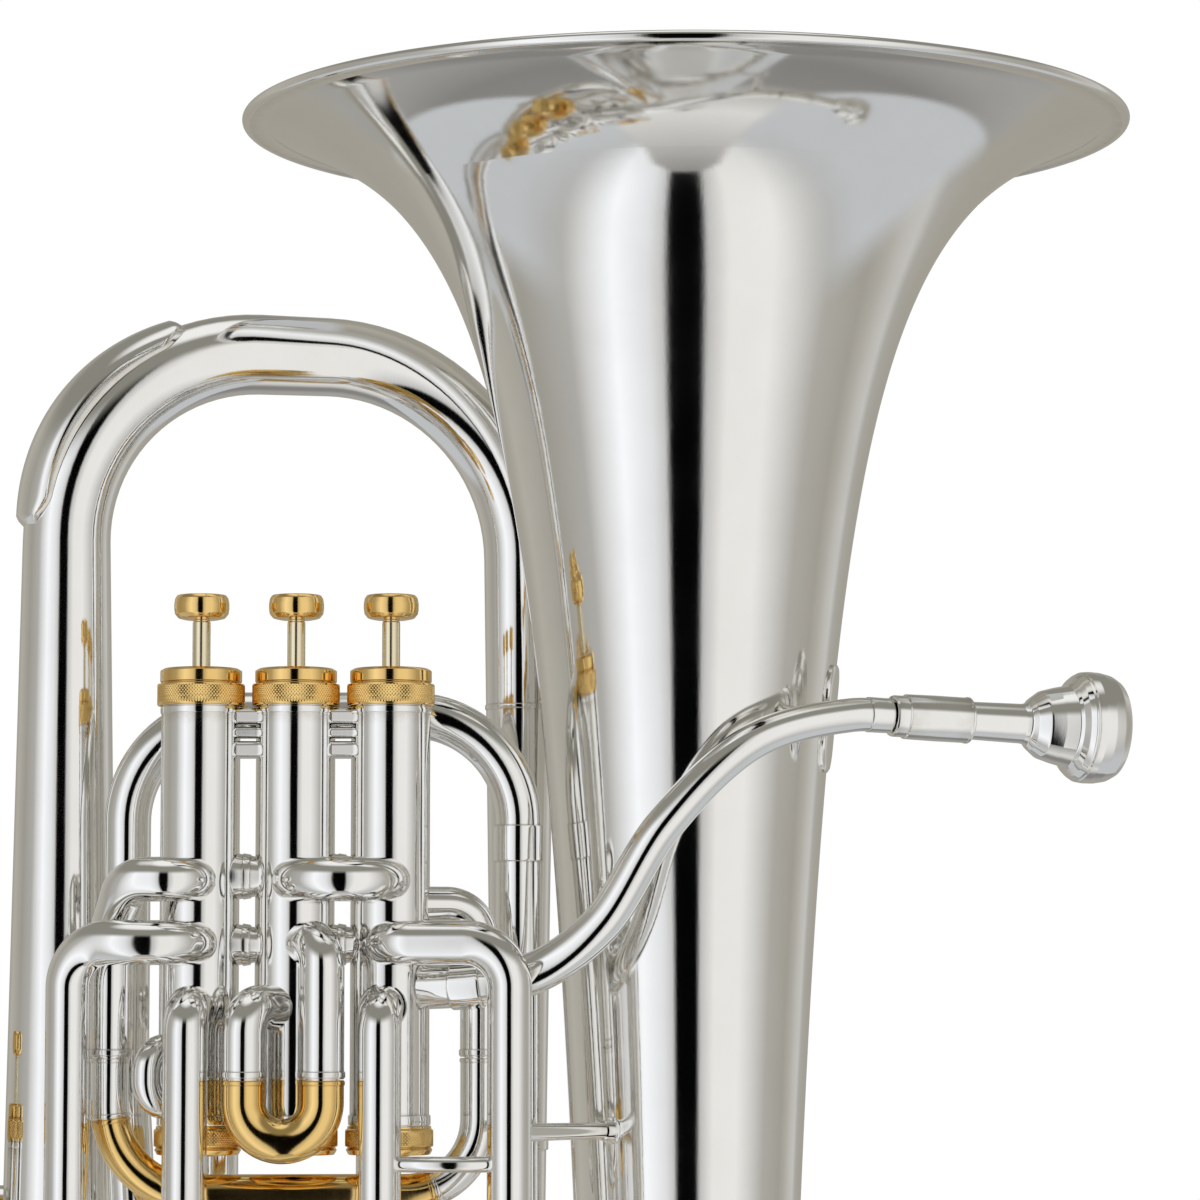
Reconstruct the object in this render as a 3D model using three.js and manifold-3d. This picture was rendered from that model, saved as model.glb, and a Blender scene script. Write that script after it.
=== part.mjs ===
// A silver-plated compensating euphonium (tenor tuba) with gold-plated trim.
// Millimetres, +Z up.  The bell's axis is upright, +X runs from the outer branch
// towards the bell and the mouthpiece, and -Y is the side that the valves are on.
// The origin is the lowest point of the bottom bow, midway between its two legs.

import * as THREE from 'three';
import { mergeVertices } from 'three/addons/utils/BufferGeometryUtils.js';
import Module from 'manifold-3d';

const wasm = await Module();
wasm.setup();

// ---------------------------------------------------------------- dimensions

const GAP = 0.3;                 // clearance between pieces that are soldered or screwed together
const BAND = Math.PI / 6;        // a small bend is built from stretches of this angle
const FINE_BAND = Math.PI / 8;   // the same for the large conical bows
const SIDES = 8;                 // facets round a small tube

// Main conical loop: bell, bottom bow, outer branch, top bow, inner branch.
const HEIGHT = 650;
const BELL_R = 150;
const BELL_X = 104.25;
const FLARE_LENGTH = 20;         // r = BELL_R * (1 + depth / FLARE_LENGTH) ** FLARE_POWER
const FLARE_POWER = -0.4667;
const BELL_WALL = 0.9;
const OUTER_X = -BELL_X;
const BOW_R_BELL = 32.1;
const BOW_R_OUTER = 21.8;
const GUARD_T = 1;
const TOP_GUARD_FOOT_T = 2.6;    // the top bow's guard grows thicker towards its lower end
const GUARD_BAND = Math.PI * 0.06;   // a guard plate is built from stretches of this angle
const GUARD_FACET = 0.32;            // and from strips of this angle round the tube
const TOP_BOW_Z = 572.5;
const TOP_LEFT_BEND = 66;
const TOP_RIGHT_BEND = 68;
const TOP_R_OUTER = 14.7;
const TOP_R_INNER = 12.3;
const INNER_X = 47.6;            // the inner branch runs down behind the bell's edge
const INNER_Y = 42;
const BRANCH_WALL = 0.8;

// Valves one to three stand in a row, valve four stands beside the outer branch.
const VALVE_Y = -43;
const VALVE_X = [7, -24, -55];
const VALVE_SEAT = 311.7;        // where the bottom cap meets the casing
const FOURTH = { x: -141.5, y: -6, drop: 141.7 };
const CASING_R = 12.9;
const CASING_BORE = 12.1;
const CASING_LENGTH = 136.3;
const CAP_R = 14.35;
const CAP_BAND = 7.2;            // height of a top cap's knurled band, below its narrower crown
const CAP_CROWN_R = 13.4;
const CAP_HEIGHT = 12.3;
const BOTTOM_CAP_HEIGHT = 9.7;
const PISTON_R = 11.5;
const PISTON_BOTTOM = 345 - VALVE_SEAT;
const PISTON_TOP = 440 - VALVE_SEAT;
const STEM_R = 3;
const BUTTON_R = 9;
const BUTTON_SEAT = 476.3 - VALVE_SEAT;
const BUTTON_HEIGHT = 8.3;
const SPRING_R = 9;
const WIRE_R = 0.9;

// Cylindrical tubing of the valve slides.
const TUBE_R = 7.2;
const TUBE_BORE = 6.4;
const LEG_R = 5.7;               // slide leg inside a receiving tube
const LEG_BORE = 4.9;
const SLIDE_Y = -66;             // plane of the front slides' legs, but for the outer two
const FIRST_SLIDE_RIGHT = { x: 46.4, y: -68 };
const UPPER_PORT = 391;
const LOWER_PORT = 370.6;
const KNUCKLE = 350;
const BACK_Y = 36;               // plane of the fourth valve's tubes
const REAR_Y = -21;              // plane of the rear bow
const REAR_R = 7.6;
const REAR_LEFT_X = -80.7;
const REAR_RIGHT_X = 48.3;

// Leadpipe and mouthpiece.
const RECEIVER_FOOT = new THREE.Vector3(169.9, -42, 445);
const MOUTH_AXIS = new THREE.Vector3(0.945, 0.325, -0.035).normalize();
const RECEIVER_LENGTH = 28;

// ------------------------------------------------------------------ materials

const finish = (color, roughness, metalness = 1) =>
  new THREE.MeshStandardMaterial({ color, roughness, metalness });

const silver = () => finish(0xd9d7d2, 0.12);
const gold = () => finish(0xe3ad4f, 0.15);
const nickel = () => finish(0xb9b9b4, 0.25);
const steel = () => finish(0x8f9092, 0.35);

// ------------------------------------------------------------------- geometry

const vec = ([x, y, z]) => new THREE.Vector3(x, y, z);

// Inside radius of a guard plate whose flat facets clear a tube of radius r on a bend.
const guardUnder = (r, bend) =>
  (r + GAP) / Math.cos(GUARD_FACET / 2) + (bend + r) * (1 / Math.cos(GUARD_BAND / 2) - 1);

// Height of the bottom bow's two joints: its guard plate just reaches z = 0.
const BOW_Z = BELL_X + guardUnder((BOW_R_BELL + BOW_R_OUTER) / 2, BELL_X) + GUARD_T;

// A route runs straight from corner to corner, with a round bend at each corner
// [x, y, z, bend radius].  It is returned as stations: a point and its direction.
const route = (...corners) => bentRoute(corners, BAND);

function bentRoute(corners, band) {
  const stations = [];
  corners.forEach((corner, i) => {
    const here = vec(corner);
    const back = i > 0 ? vec(corners[i - 1]).sub(here).normalize() : null;
    const on = i < corners.length - 1 ? vec(corners[i + 1]).sub(here).normalize() : null;
    if (!back || !on) {
      stations.push({ at: here, along: on ?? back.negate() });
      return;
    }
    const radius = corner[3];
    const turn = Math.PI - back.angleTo(on);
    const centre = back.clone().add(on).setLength(radius / Math.cos(turn / 2)).add(here);
    const arm = back.clone().multiplyScalar(radius * Math.tan(turn / 2)).add(here).sub(centre);
    const axis = back.clone().cross(on).negate().normalize();
    const count = Math.max(2, Math.round(turn / band));
    for (let k = 0; k <= count; k += 1) {
      const angle = (turn * k) / count;
      stations.push({
        at: arm.clone().applyAxisAngle(axis, angle).add(centre),
        along: back.clone().negate().applyAxisAngle(axis, angle),
      });
    }
  });
  return stations.filter((s, i) => i === 0 || s.at.distanceTo(stations[i - 1].at) > 0.05);
}

// Stations along a smooth curve through the given points.
function curveRoute(points, count) {
  const curve = new THREE.CatmullRomCurve3(points.map(vec), false, 'centripetal');
  return Array.from({ length: count + 1 }, (_, i) => ({
    at: curve.getPointAt(i / count),
    along: curve.getTangentAt(i / count),
  }));
}

// Rings of points round the stations; the frame is carried along without twist.
function ringsOf(stations, radius, sides) {
  const total = stations.reduce(
    (sum, s, i) => sum + (i ? s.at.distanceTo(stations[i - 1].at) : 0), 0);
  const normal = new THREE.Vector3(0, 1, 0);
  if (Math.abs(stations[0].along.y) > 0.9) normal.set(1, 0, 0);
  let run = 0;
  return stations.map((s, i) => {
    if (i > 0) {
      const last = stations[i - 1];
      normal.applyQuaternion(
        new THREE.Quaternion().setFromUnitVectors(last.along, s.along));
      run += s.at.distanceTo(last.at);
    }
    normal.addScaledVector(s.along, -normal.dot(s.along)).normalize();
    const side = s.along.clone().cross(normal);
    const r = typeof radius === 'function' ? radius(run / total) : radius;
    return Array.from({ length: sides }, (_, k) => {
      const angle = (2 * Math.PI * (k + 0.5)) / sides;
      return s.at.clone()
        .addScaledVector(normal, r * Math.cos(angle))
        .addScaledVector(side, r * Math.sin(angle));
    });
  });
}

// A closed body from points and triangles; a triangle is three places in the list.
function fromTriangles(points, triangles) {
  const geometry = new THREE.BufferGeometry();
  geometry.setFromPoints(points);
  geometry.setIndex(triangles);
  return outward(geometry);
}

// Tube along stations: outer and bore radii are numbers or functions of the run, 0 to 1.
function tube(stations, outer, bore, sides = SIDES) {
  const skin = ringsOf(stations, outer, sides);
  const lining = bore ? ringsOf(stations, bore, sides) : null;
  const points = [...skin.flat(), ...(lining ? lining.flat() : [])];
  const triangles = [];
  const rows = skin.length;
  const quad = (a, b, c, d) => triangles.push(a, b, c, a, c, d);
  const next = (k) => (k + 1) % sides;
  const inner = rows * sides;
  for (let i = 0; i < rows - 1; i += 1) {
    for (let k = 0; k < sides; k += 1) {
      const low = i * sides;
      const high = low + sides;
      quad(low + k, low + next(k), high + next(k), high + k);
      if (lining) {
        quad(inner + low + k, inner + high + k, inner + high + next(k), inner + low + next(k));
      }
    }
  }
  const last = (rows - 1) * sides;
  for (let k = 0; k < sides; k += 1) {
    if (lining) {
      quad(k, inner + k, inner + next(k), next(k));
      quad(last + k, last + next(k), inner + last + next(k), inner + last + k);
    } else if (k > 0 && k < sides - 1) {
      triangles.push(0, k + 1, k, last, last + k, last + k + 1);
    }
  }
  return fromTriangles(points, triangles);
}

// Crescent-shaped plate over the outside of a bend that lies in the XZ plane.
function bendGuard(centre, bend, from, to, radius, thickness, steps) {
  const rings = [];
  const count = Math.round((to - from) / GUARD_BAND);
  for (let i = 0; i <= count; i += 1) {
    const t = i / count;
    const angle = from + (to - from) * t;
    const outwards = new THREE.Vector3(Math.cos(angle), 0, Math.sin(angle));
    const at = outwards.clone().multiplyScalar(bend).add(centre);
    const arc = (r, reverse) => Array.from({ length: steps + 1 }, (_, k) => {
      const turn = GUARD_FACET * ((reverse ? steps - k : k) - steps / 2);
      return at.clone()
        .addScaledVector(outwards, r * Math.cos(turn))
        .add(new THREE.Vector3(0, r * Math.sin(turn), 0));
    });
    const under = guardUnder(radius(t), bend);
    rings.push([...arc(under + thickness(t), false), ...arc(under, true)]);
  }
  const sides = rings[0].length;
  const triangles = [];
  for (let i = 0; i < count; i += 1) {
    for (let k = 0; k < sides; k += 1) {
      const a = i * sides + k;
      const b = i * sides + ((k + 1) % sides);
      triangles.push(a, b, b + sides, a, b + sides, a + sides);
    }
  }
  for (const [base, flip] of [[0, true], [count * sides, false]]) {
    for (let k = 0; k < steps; k += 1) {
      const [a, b, c, d] = [k, k + 1, sides - 2 - k, sides - 1 - k].map((n) => base + n);
      triangles.push(...(flip ? [a, c, b, a, d, c] : [a, b, c, a, c, d]));
    }
  }
  return fromTriangles(rings.flat(), triangles);
}

// Body of revolution about +Z; the profile is a list of [radius, height].
function turned(profile, sides, closed = true) {
  const points = profile.map(([r, z]) => new THREE.Vector2(r, z));
  if (closed) points.push(points[0].clone());
  return outward(new THREE.LatheGeometry(points, sides).rotateX(Math.PI / 2));
}

// Merges shared vertices, drops empty triangles and turns every face outwards.
function outward(geometry) {
  geometry.deleteAttribute('normal');
  geometry.deleteAttribute('uv');
  const merged = mergeVertices(geometry, 1e-4);
  const index = Array.from(merged.index.array);
  const kept = [];
  for (let i = 0; i < index.length; i += 3) {
    const [a, b, c] = index.slice(i, i + 3);
    if (a !== b && b !== c && c !== a) kept.push(a, b, c);
  }
  const position = merged.attributes.position;
  const corner = (i) => new THREE.Vector3().fromBufferAttribute(position, i);
  let volume = 0;
  for (let i = 0; i < kept.length; i += 3) {
    volume += corner(kept[i]).dot(corner(kept[i + 1]).cross(corner(kept[i + 2])));
  }
  if (volume < 0) kept.reverse();
  merged.setIndex(kept);
  return merged;
}

const toSolid = (geometry) => new wasm.Manifold(new wasm.Mesh({
  numProp: 3,
  vertProperties: new Float32Array(geometry.attributes.position.array),
  triVerts: new Uint32Array(geometry.index.array),
}));

function toGeometry(solid) {
  const { vertProperties, triVerts } = solid.getMesh();
  const geometry = new THREE.BufferGeometry();
  geometry.setAttribute('position', new THREE.BufferAttribute(vertProperties, 3));
  geometry.setIndex(new THREE.BufferAttribute(triVerts, 1));
  return geometry;
}

const cut = (geometry, ...cutters) =>
  toGeometry(cutters.reduce((solid, c) => solid.subtract(toSolid(c)), toSolid(geometry)));

const join = (...pieces) =>
  toGeometry(pieces.map(toSolid).reduce((sum, piece) => sum.add(piece)));

// Round rod from one point to another.
const rod = (from, to, radius, sides = 8) => tube(route(from, to), radius, null, sides);

// Upright cylinder a little larger than a casing, to trim the tubes that meet it.
function casingCutter(x, y, seat) {
  const sides = 24;
  const radius = (CASING_R + GAP) / Math.cos(Math.PI / sides);
  return rod([x, y, seat], [x, y, seat + CASING_LENGTH], radius, sides);
}

// ------------------------------------------------------------------- assembly

const euphonium = new THREE.Group();

function add(name, geometry, material, parent = euphonium) {
  const mesh = new THREE.Mesh(geometry, material);
  mesh.name = name;
  parent.add(mesh);
  return mesh;
}

// ------------------------------------------------------------- main conical loop

const flareRadius = (depth) => BELL_R * (1 + depth / FLARE_LENGTH) ** FLARE_POWER;

function bellProfile(offset) {
  const depths = [3, 9, 22, 50, 105, 200, 340, HEIGHT - BOW_Z - GAP];
  return depths.map((depth) => {
    const slope = FLARE_POWER * flareRadius(depth) / (FLARE_LENGTH + depth);
    const length = Math.hypot(1, slope);
    return [
      flareRadius(depth) - offset / length,
      HEIGHT - depth - (offset * slope) / length,
    ];
  });
}

function buildBell() {
  const rim = [
    [BELL_R - 1.4, HEIGHT - 3],
    [BELL_R, HEIGHT - 1.8],
    [BELL_R - 0.6, HEIGHT],
    [BELL_R - 3.4, HEIGHT],
  ];
  const outside = bellProfile(0).reverse();
  const inside = bellProfile(BELL_WALL);
  inside.at(-1)[1] = outside[0][1];
  const bell = add('bell', turned([...outside, ...rim, ...inside], 28), silver());
  bell.position.x = BELL_X;
}

function buildLoop() {
  const bowR = (t) => THREE.MathUtils.lerp(BOW_R_BELL, BOW_R_OUTER, t);
  const bow = bentRoute([
    [BELL_X, 0, BOW_Z], [BELL_X, 0, BOW_Z - BELL_X, BELL_X],
    [OUTER_X, 0, BOW_Z - BELL_X, BELL_X], [OUTER_X, 0, BOW_Z]], FINE_BAND);
  add('bottom_bow', tube(bow, bowR, (t) => bowR(t) - BRANCH_WALL, 16), silver());
  const guardSpan = Math.PI / 2 - 5 * GUARD_BAND;
  const spanR = (t) => THREE.MathUtils.lerp(bowR(0.8), bowR(0.2), t);
  add('bottom_bow_guard', bendGuard(
    new THREE.Vector3(0, 0, BOW_Z), BELL_X, -Math.PI + guardSpan, -guardSpan,
    spanR, () => GUARD_T, 6), silver());

  const branchR = (t) => THREE.MathUtils.lerp(BOW_R_OUTER, TOP_R_OUTER, t);
  add('outer_branch', tube(
    route([OUTER_X, 0, BOW_Z + GAP], [OUTER_X, 0, TOP_BOW_Z - TOP_LEFT_BEND - GAP]),
    branchR, (t) => branchR(t) - BRANCH_WALL, 16), silver());

  const topR = (t) => THREE.MathUtils.lerp(TOP_R_OUTER, TOP_R_INNER, t);
  const top = bentRoute([
    [OUTER_X, 0, TOP_BOW_Z - TOP_LEFT_BEND],
    [OUTER_X, 0, TOP_BOW_Z, TOP_LEFT_BEND],
    [INNER_X, INNER_Y, TOP_BOW_Z, TOP_RIGHT_BEND],
    [INNER_X, INNER_Y, TOP_BOW_Z - TOP_RIGHT_BEND]], FINE_BAND);
  add('top_bow', tube(top, topR, (t) => topR(t) - BRANCH_WALL, 14), silver());
  const topGuard = bendGuard(
    new THREE.Vector3(TOP_LEFT_BEND, 0, TOP_BOW_Z - TOP_LEFT_BEND), TOP_LEFT_BEND,
    Math.PI * 0.98 - 7 * GUARD_BAND, Math.PI * 0.98,
    (t) => THREE.MathUtils.lerp(topR(0.31), topR(0), t),
    (t) => THREE.MathUtils.lerp(GUARD_T, TOP_GUARD_FOOT_T, t), 6);
  topGuard.rotateZ(Math.atan2(INNER_Y, INNER_X - OUTER_X)).translate(OUTER_X, 0, 0);
  add('top_bow_guard', topGuard, silver());
}

buildBell();
buildLoop();

// --------------------------------------------------------------------- valves

// One valve, built about its own axis with the bottom cap's seat at z = 0.
// Each port is [height, compass angle in degrees] of a tube that meets the casing.
function buildValve(number, x, y, seat, ports) {
  const valve = new THREE.Group();
  valve.position.set(x, y, seat);
  euphonium.add(valve);
  const tuck = 6.3;              // how far a casing end reaches into its cap
  const inCap = CASING_R + 0.5;
  const top = CASING_LENGTH;

  const portBore = 5;
  const portCutters = ports.map(([height, degrees]) => {
    const angle = THREE.MathUtils.degToRad(degrees);
    const direction = [Math.cos(angle), Math.sin(angle)];
    const at = (r) => [r * direction[0], r * direction[1], height - seat];
    return rod(at(CASING_BORE - 3), at(CASING_R + 3), portBore, 6);
  });
  add(`valve_casing_${number}`, cut(turned([
    [CASING_BORE, -tuck], [CASING_R, -tuck], [CASING_R, top + tuck], [CASING_BORE, top + tuck],
  ], 16), ...portCutters), silver(), valve);

  add(`top_cap_${number}`, turned([
    [inCap, top], [CAP_R, top], [CAP_R, top + CAP_BAND], [CAP_CROWN_R, top + CAP_BAND],
    [CAP_CROWN_R, top + CAP_HEIGHT - 0.8], [CAP_CROWN_R - 1, top + CAP_HEIGHT],
    [STEM_R + 1.1, top + CAP_HEIGHT], [STEM_R + 1.1, top + CAP_HEIGHT - 3],
    [CASING_BORE, top + CAP_HEIGHT - 3], [CASING_BORE, top + tuck + GAP],
    [inCap, top + tuck + GAP],
  ], 16), gold(), valve);

  add(`bottom_cap_${number}`, turned([
    [inCap, 0], [CAP_R, 0], [CAP_R, -BOTTOM_CAP_HEIGHT + 1.5],
    [CAP_R - 1.5, -BOTTOM_CAP_HEIGHT], [2.5, -BOTTOM_CAP_HEIGHT],
    [2.5, -BOTTOM_CAP_HEIGHT + 2], [inCap, -BOTTOM_CAP_HEIGHT + 2],
  ], 16), gold(), valve);

  // The piston is a thin drum crossed by passage tubes, with a vented foot for the spring.
  const passage = ([height, degrees], radius, reach) => {
    const angle = THREE.MathUtils.degToRad(degrees);
    const end = [reach * Math.cos(angle), reach * Math.sin(angle), height - VALVE_SEAT];
    return rod([-end[0], -end[1], end[2]], end, radius, 6);
  };
  const passages = [[354, 0], [386, 90]];
  const vent = 3;
  const drumWall = 0.9;
  const drum = turned([
    [vent, PISTON_BOTTOM], [PISTON_R, PISTON_BOTTOM], [PISTON_R, PISTON_TOP],
    [STEM_R, PISTON_TOP], [STEM_R, BUTTON_SEAT - GAP], [0, BUTTON_SEAT - GAP],
    [0, PISTON_TOP - 2], [PISTON_R - drumWall, PISTON_TOP - 2],
    [PISTON_R - drumWall, PISTON_BOTTOM + 1.5], [vent, PISTON_BOTTOM + 1.5],
  ], 12);
  add(`piston_${number}`, cut(
    join(drum, ...passages.map((port) => passage(port, portBore + 0.8, PISTON_R - 0.6))),
    ...passages.map((port) => passage(port, portBore, PISTON_R + 2))), nickel(), valve);

  add(`finger_button_${number}`, turned([
    [0, BUTTON_SEAT], [6, BUTTON_SEAT], [BUTTON_R, BUTTON_SEAT + 3.4],
    [BUTTON_R, BUTTON_SEAT + 5], [BUTTON_R - 3, BUTTON_SEAT + BUTTON_HEIGHT],
    [0, BUTTON_SEAT + BUTTON_HEIGHT - 0.7],
  ], 16, false), gold(), valve);

  const turns = 3;
  const low = -BOTTOM_CAP_HEIGHT + 2 + GAP + WIRE_R;
  const high = PISTON_BOTTOM - GAP - WIRE_R;
  const steps = turns * 8;
  const coil = Array.from({ length: steps + 1 }, (_, i) => {
    const angle = (2 * Math.PI * turns * i) / steps;
    const rise = (high - low) / (2 * Math.PI * turns);
    return {
      at: new THREE.Vector3(
        SPRING_R * Math.cos(angle), SPRING_R * Math.sin(angle), low + rise * angle),
      along: new THREE.Vector3(
        -SPRING_R * Math.sin(angle), SPRING_R * Math.cos(angle), rise).normalize(),
    };
  });
  add(`valve_spring_${number}`, tube(coil, WIRE_R, null, 4), steel(), valve);
}

const CROSSOVER = 370.3;
const LEADPIPE_PORT = 357;
const RETURN_PORT = 383;
const LINK_PORT = 350;
const BACK_PORTS = { link: 283, long: 258, short: 233, outlet: 208 };

buildValve(1, VALVE_X[0], VALVE_Y, VALVE_SEAT, [
  [UPPER_PORT, -90], [LOWER_PORT, -90], [KNUCKLE, -97],
  [LEADPIPE_PORT, -14], [RETURN_PORT, 12], [CROSSOVER, 180]]);
buildValve(2, VALVE_X[1], VALVE_Y, VALVE_SEAT, [
  [UPPER_PORT, -88], [LOWER_PORT, -66], [KNUCKLE, -122], [CROSSOVER, 0], [CROSSOVER, 180]]);
buildValve(3, VALVE_X[2], VALVE_Y, VALVE_SEAT, [
  [UPPER_PORT, -95], [LOWER_PORT, -95], [KNUCKLE, -95], [CROSSOVER, 0], [LINK_PORT, 90]]);
buildValve(4, FOURTH.x, FOURTH.y, VALVE_SEAT - FOURTH.drop,
  Object.values(BACK_PORTS).map((height) => [height, 90]));

const casings = [
  ...VALVE_X.map((x) => casingCutter(x, VALVE_Y, VALVE_SEAT)),
  casingCutter(FOURTH.x, FOURTH.y, VALVE_SEAT - FOURTH.drop),
];
const toCasing = (geometry, ...numbers) =>
  cut(geometry, ...numbers.map((number) => casings[number - 1]));

[['crossover_1_2', 0], ['crossover_2_3', 1]].forEach(([name, i]) => {
  const stretch = route([VALVE_X[i], VALVE_Y, CROSSOVER], [VALVE_X[i + 1], VALVE_Y, CROSSOVER]);
  add(name, toCasing(tube(stretch, 6, 5, 8), i + 1, i + 2), silver());
});

// --------------------------------------------------------------------- slides

// The moving U of a slide, in the upright plane through its two legs: thin legs that
// run up inside the receiving tubes, and a wider bow below their ends.
// Each leg is {x, y, r, bore}; heights: leg tops, bow shoulder, centre line of the crown.
function slideBow({ left, right, tops, shoulder, crown, bends, bow = TUBE_R }) {
  const at = (leg, z, bend) => [leg.x, leg.y, z, bend];
  const [bendLeft, bendRight] = bends;
  const path = route(
    at(left, shoulder), at(left, crown, bendLeft), at(right, crown, bendRight),
    at(right, shoulder));
  const solidBow = tube(path, bow, null);
  const overlap = 1;
  const legs = [left, right].map((leg) =>
    rod([leg.x, leg.y, shoulder - overlap], [leg.x, leg.y, tops], leg.r ?? LEG_R, SIDES));
  const core = tube(route(
    at(left, tops + 1), at(left, crown, bendLeft), at(right, crown, bendRight),
    at(right, tops + 1)),
    (t) => THREE.MathUtils.lerp(left.bore ?? LEG_BORE, right.bore ?? LEG_BORE, t), null, 6);
  return cut(join(solidBow, ...legs), core);
}

function buildFrontSlides() {
  const tubeOf = (path) => tube(path, TUBE_R, TUBE_BORE);
  const front = (x, z) => [x, SLIDE_Y, z];

  // First valve: a wide loop to the right, towards the bell.
  const first = { left: { x: 4.6, y: SLIDE_Y }, right: FIRST_SLIDE_RIGHT, end: 262 };
  const elbowY = -62;            // where the outer tube turns from the valve to the right
  add('first_slide_inner_tube', toCasing(tubeOf(route(
    [VALVE_X[0] - 1, VALVE_Y, KNUCKLE], [...front(first.left.x, KNUCKLE), 9],
    front(first.left.x, first.end))), 1), silver());
  add('first_slide_outer_tube', toCasing(tubeOf(route(
    [VALVE_X[0], VALVE_Y, LOWER_PORT], [VALVE_X[0], elbowY, LOWER_PORT, 9],
    [first.right.x, first.right.y, LOWER_PORT, 14.5],
    [first.right.x, first.right.y, first.end])), 1), silver());
  add('first_slide', slideBow({
    ...first, tops: 330, shoulder: first.end - GAP, crown: 215, bends: [20.9, 20.9],
  }), gold());

  // Second valve: a short narrow loop straight in front.
  const second = { left: { x: -38.7, y: SLIDE_Y }, right: { x: -13.7, y: SLIDE_Y }, end: 327 };
  add('second_slide_left_tube', toCasing(tubeOf(route(
    [VALVE_X[1], VALVE_Y, KNUCKLE], [...front(second.left.x, KNUCKLE), 9],
    front(second.left.x, second.end))), 2), silver());
  add('second_slide_right_tube', toCasing(tubeOf(route(
    [VALVE_X[1], VALVE_Y, LOWER_PORT], [...front(second.right.x, LOWER_PORT), 9],
    front(second.right.x, second.end))), 2), silver());
  add('second_slide', slideBow({
    ...second, tops: 340, shoulder: second.end - GAP, crown: 307.2, bends: [12.5, 12.5],
  }), gold());

  // Third valve: the longest front loop, out to the outer branch.
  const third = { left: { x: -96, y: -57 }, right: { x: -57.4, y: SLIDE_Y }, end: 205 };
  const kneeX = -77;             // where the outer tube begins to lean back to its leg
  add('third_slide_inner_tube', toCasing(tubeOf(route(
    [VALVE_X[2], VALVE_Y, KNUCKLE], [...front(third.right.x, KNUCKLE), 9],
    front(third.right.x, third.end))), 3), silver());
  add('third_slide_outer_tube', toCasing(tubeOf(route(
    [VALVE_X[2], VALVE_Y, LOWER_PORT], [...front(VALVE_X[2] - 0.5, LOWER_PORT), 12],
    [...front(kneeX, LOWER_PORT), 20], [third.left.x, third.left.y, LOWER_PORT, 14.5],
    [third.left.x, third.left.y, third.end])), 3), silver());
  add('third_slide', slideBow({
    ...third, tops: 275, shoulder: third.end - GAP, crown: 151.7, bends: [18.3, 18.3],
  }), gold());

  // Small compensating loop on the left side of the third valve.
  const loopX = -70.5;
  const loopY = -56;
  add('third_compensating_loop', toCasing(tube(route(
    [VALVE_X[2], VALVE_Y, 336.5], [loopX, loopY, 336.5, 7.5], [loopX, loopY, 319, 7.5],
    [VALVE_X[2], VALVE_Y, 319]), 5, 4.3), 3), silver());

  // Short link between the first two valves' upper ports.
  add('front_link_1_2', toCasing(tubeOf(route(
    [VALVE_X[1], VALVE_Y, UPPER_PORT], [...front(VALVE_X[1] + 0.2, UPPER_PORT), 15.2],
    [...front(VALVE_X[0], UPPER_PORT), 15.2], [VALVE_X[0], VALVE_Y, UPPER_PORT])), 1, 2),
  silver());
}

buildFrontSlides();

// ---------------------------------------------------------- compensating return

function buildReturn() {
  const left = { x: -83.4, y: -46 };
  const right = { x: 36, y: -36.5, r: 4.9, bore: 4.1 };
  const end = 334;
  add('return_left_tube', toCasing(tube(route(
    [VALVE_X[2], VALVE_Y, UPPER_PORT], [-57, -65, UPPER_PORT, 9], [-77, -60, UPPER_PORT, 10],
    [left.x, left.y, 374, 12], [left.x, left.y, end]), TUBE_R, TUBE_BORE), 3), silver());
  add('return_right_tube', toCasing(tube(route(
    [VALVE_X[0], VALVE_Y, RETURN_PORT], [right.x, right.y, RETURN_PORT, 11],
    [right.x, right.y, end]), 6.3, 5.6), 1), silver());
  add('return_slide', slideBow({
    left, right, tops: 362, shoulder: end - GAP, crown: 290, bends: [28, 24], bow: 6.2,
  }), gold());
}

buildReturn();

// -------------------------------------------- rear bow, main slide and inner branch

function buildMainSlide() {
  const end = 250;
  const lower = { x: -75, z: BACK_PORTS.outlet };
  const foot = 230;
  add('rear_bow', tube(route(
    [lower.x, REAR_Y, foot], [REAR_LEFT_X, REAR_Y, 330, 60],
    [REAR_LEFT_X, REAR_Y, 446.5, 35.4], [REAR_RIGHT_X, REAR_Y, 446.5, 35.4],
    [REAR_RIGHT_X, REAR_Y, end]), REAR_R, REAR_R - 0.8), silver());

  const innerR = (t) => THREE.MathUtils.lerp(TOP_R_INNER, 8.6, t);
  add('inner_branch', tube(
    route([INNER_X, INNER_Y, TOP_BOW_Z - TOP_RIGHT_BEND - GAP], [INNER_X, INNER_Y, end]),
    innerR, (t) => innerR(t) - BRANCH_WALL, 14), silver());

  add('main_slide', slideBow({
    left: { x: REAR_RIGHT_X, y: REAR_Y, r: 6, bore: 5.2 },
    right: { x: INNER_X, y: INNER_Y, r: 6.9, bore: 6.1 },
    tops: 305, shoulder: end - GAP, crown: 216, bends: [24, 24], bow: 7.8,
  }), gold());

  // Outlet of the fourth valve: back, across behind the outer branch, and forward.
  add('fourth_outlet_tube', toCasing(tube(route(
    [FOURTH.x, FOURTH.y, lower.z], [FOURTH.x, BACK_Y, lower.z, 12],
    [lower.x, BACK_Y, lower.z, 12], [lower.x, REAR_Y, lower.z, 12],
    [lower.x, REAR_Y, foot - 1]), TUBE_R, TUBE_BORE), 4), silver());
}

buildMainSlide();

// ------------------------------------------------------- fourth valve's tubing

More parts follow.
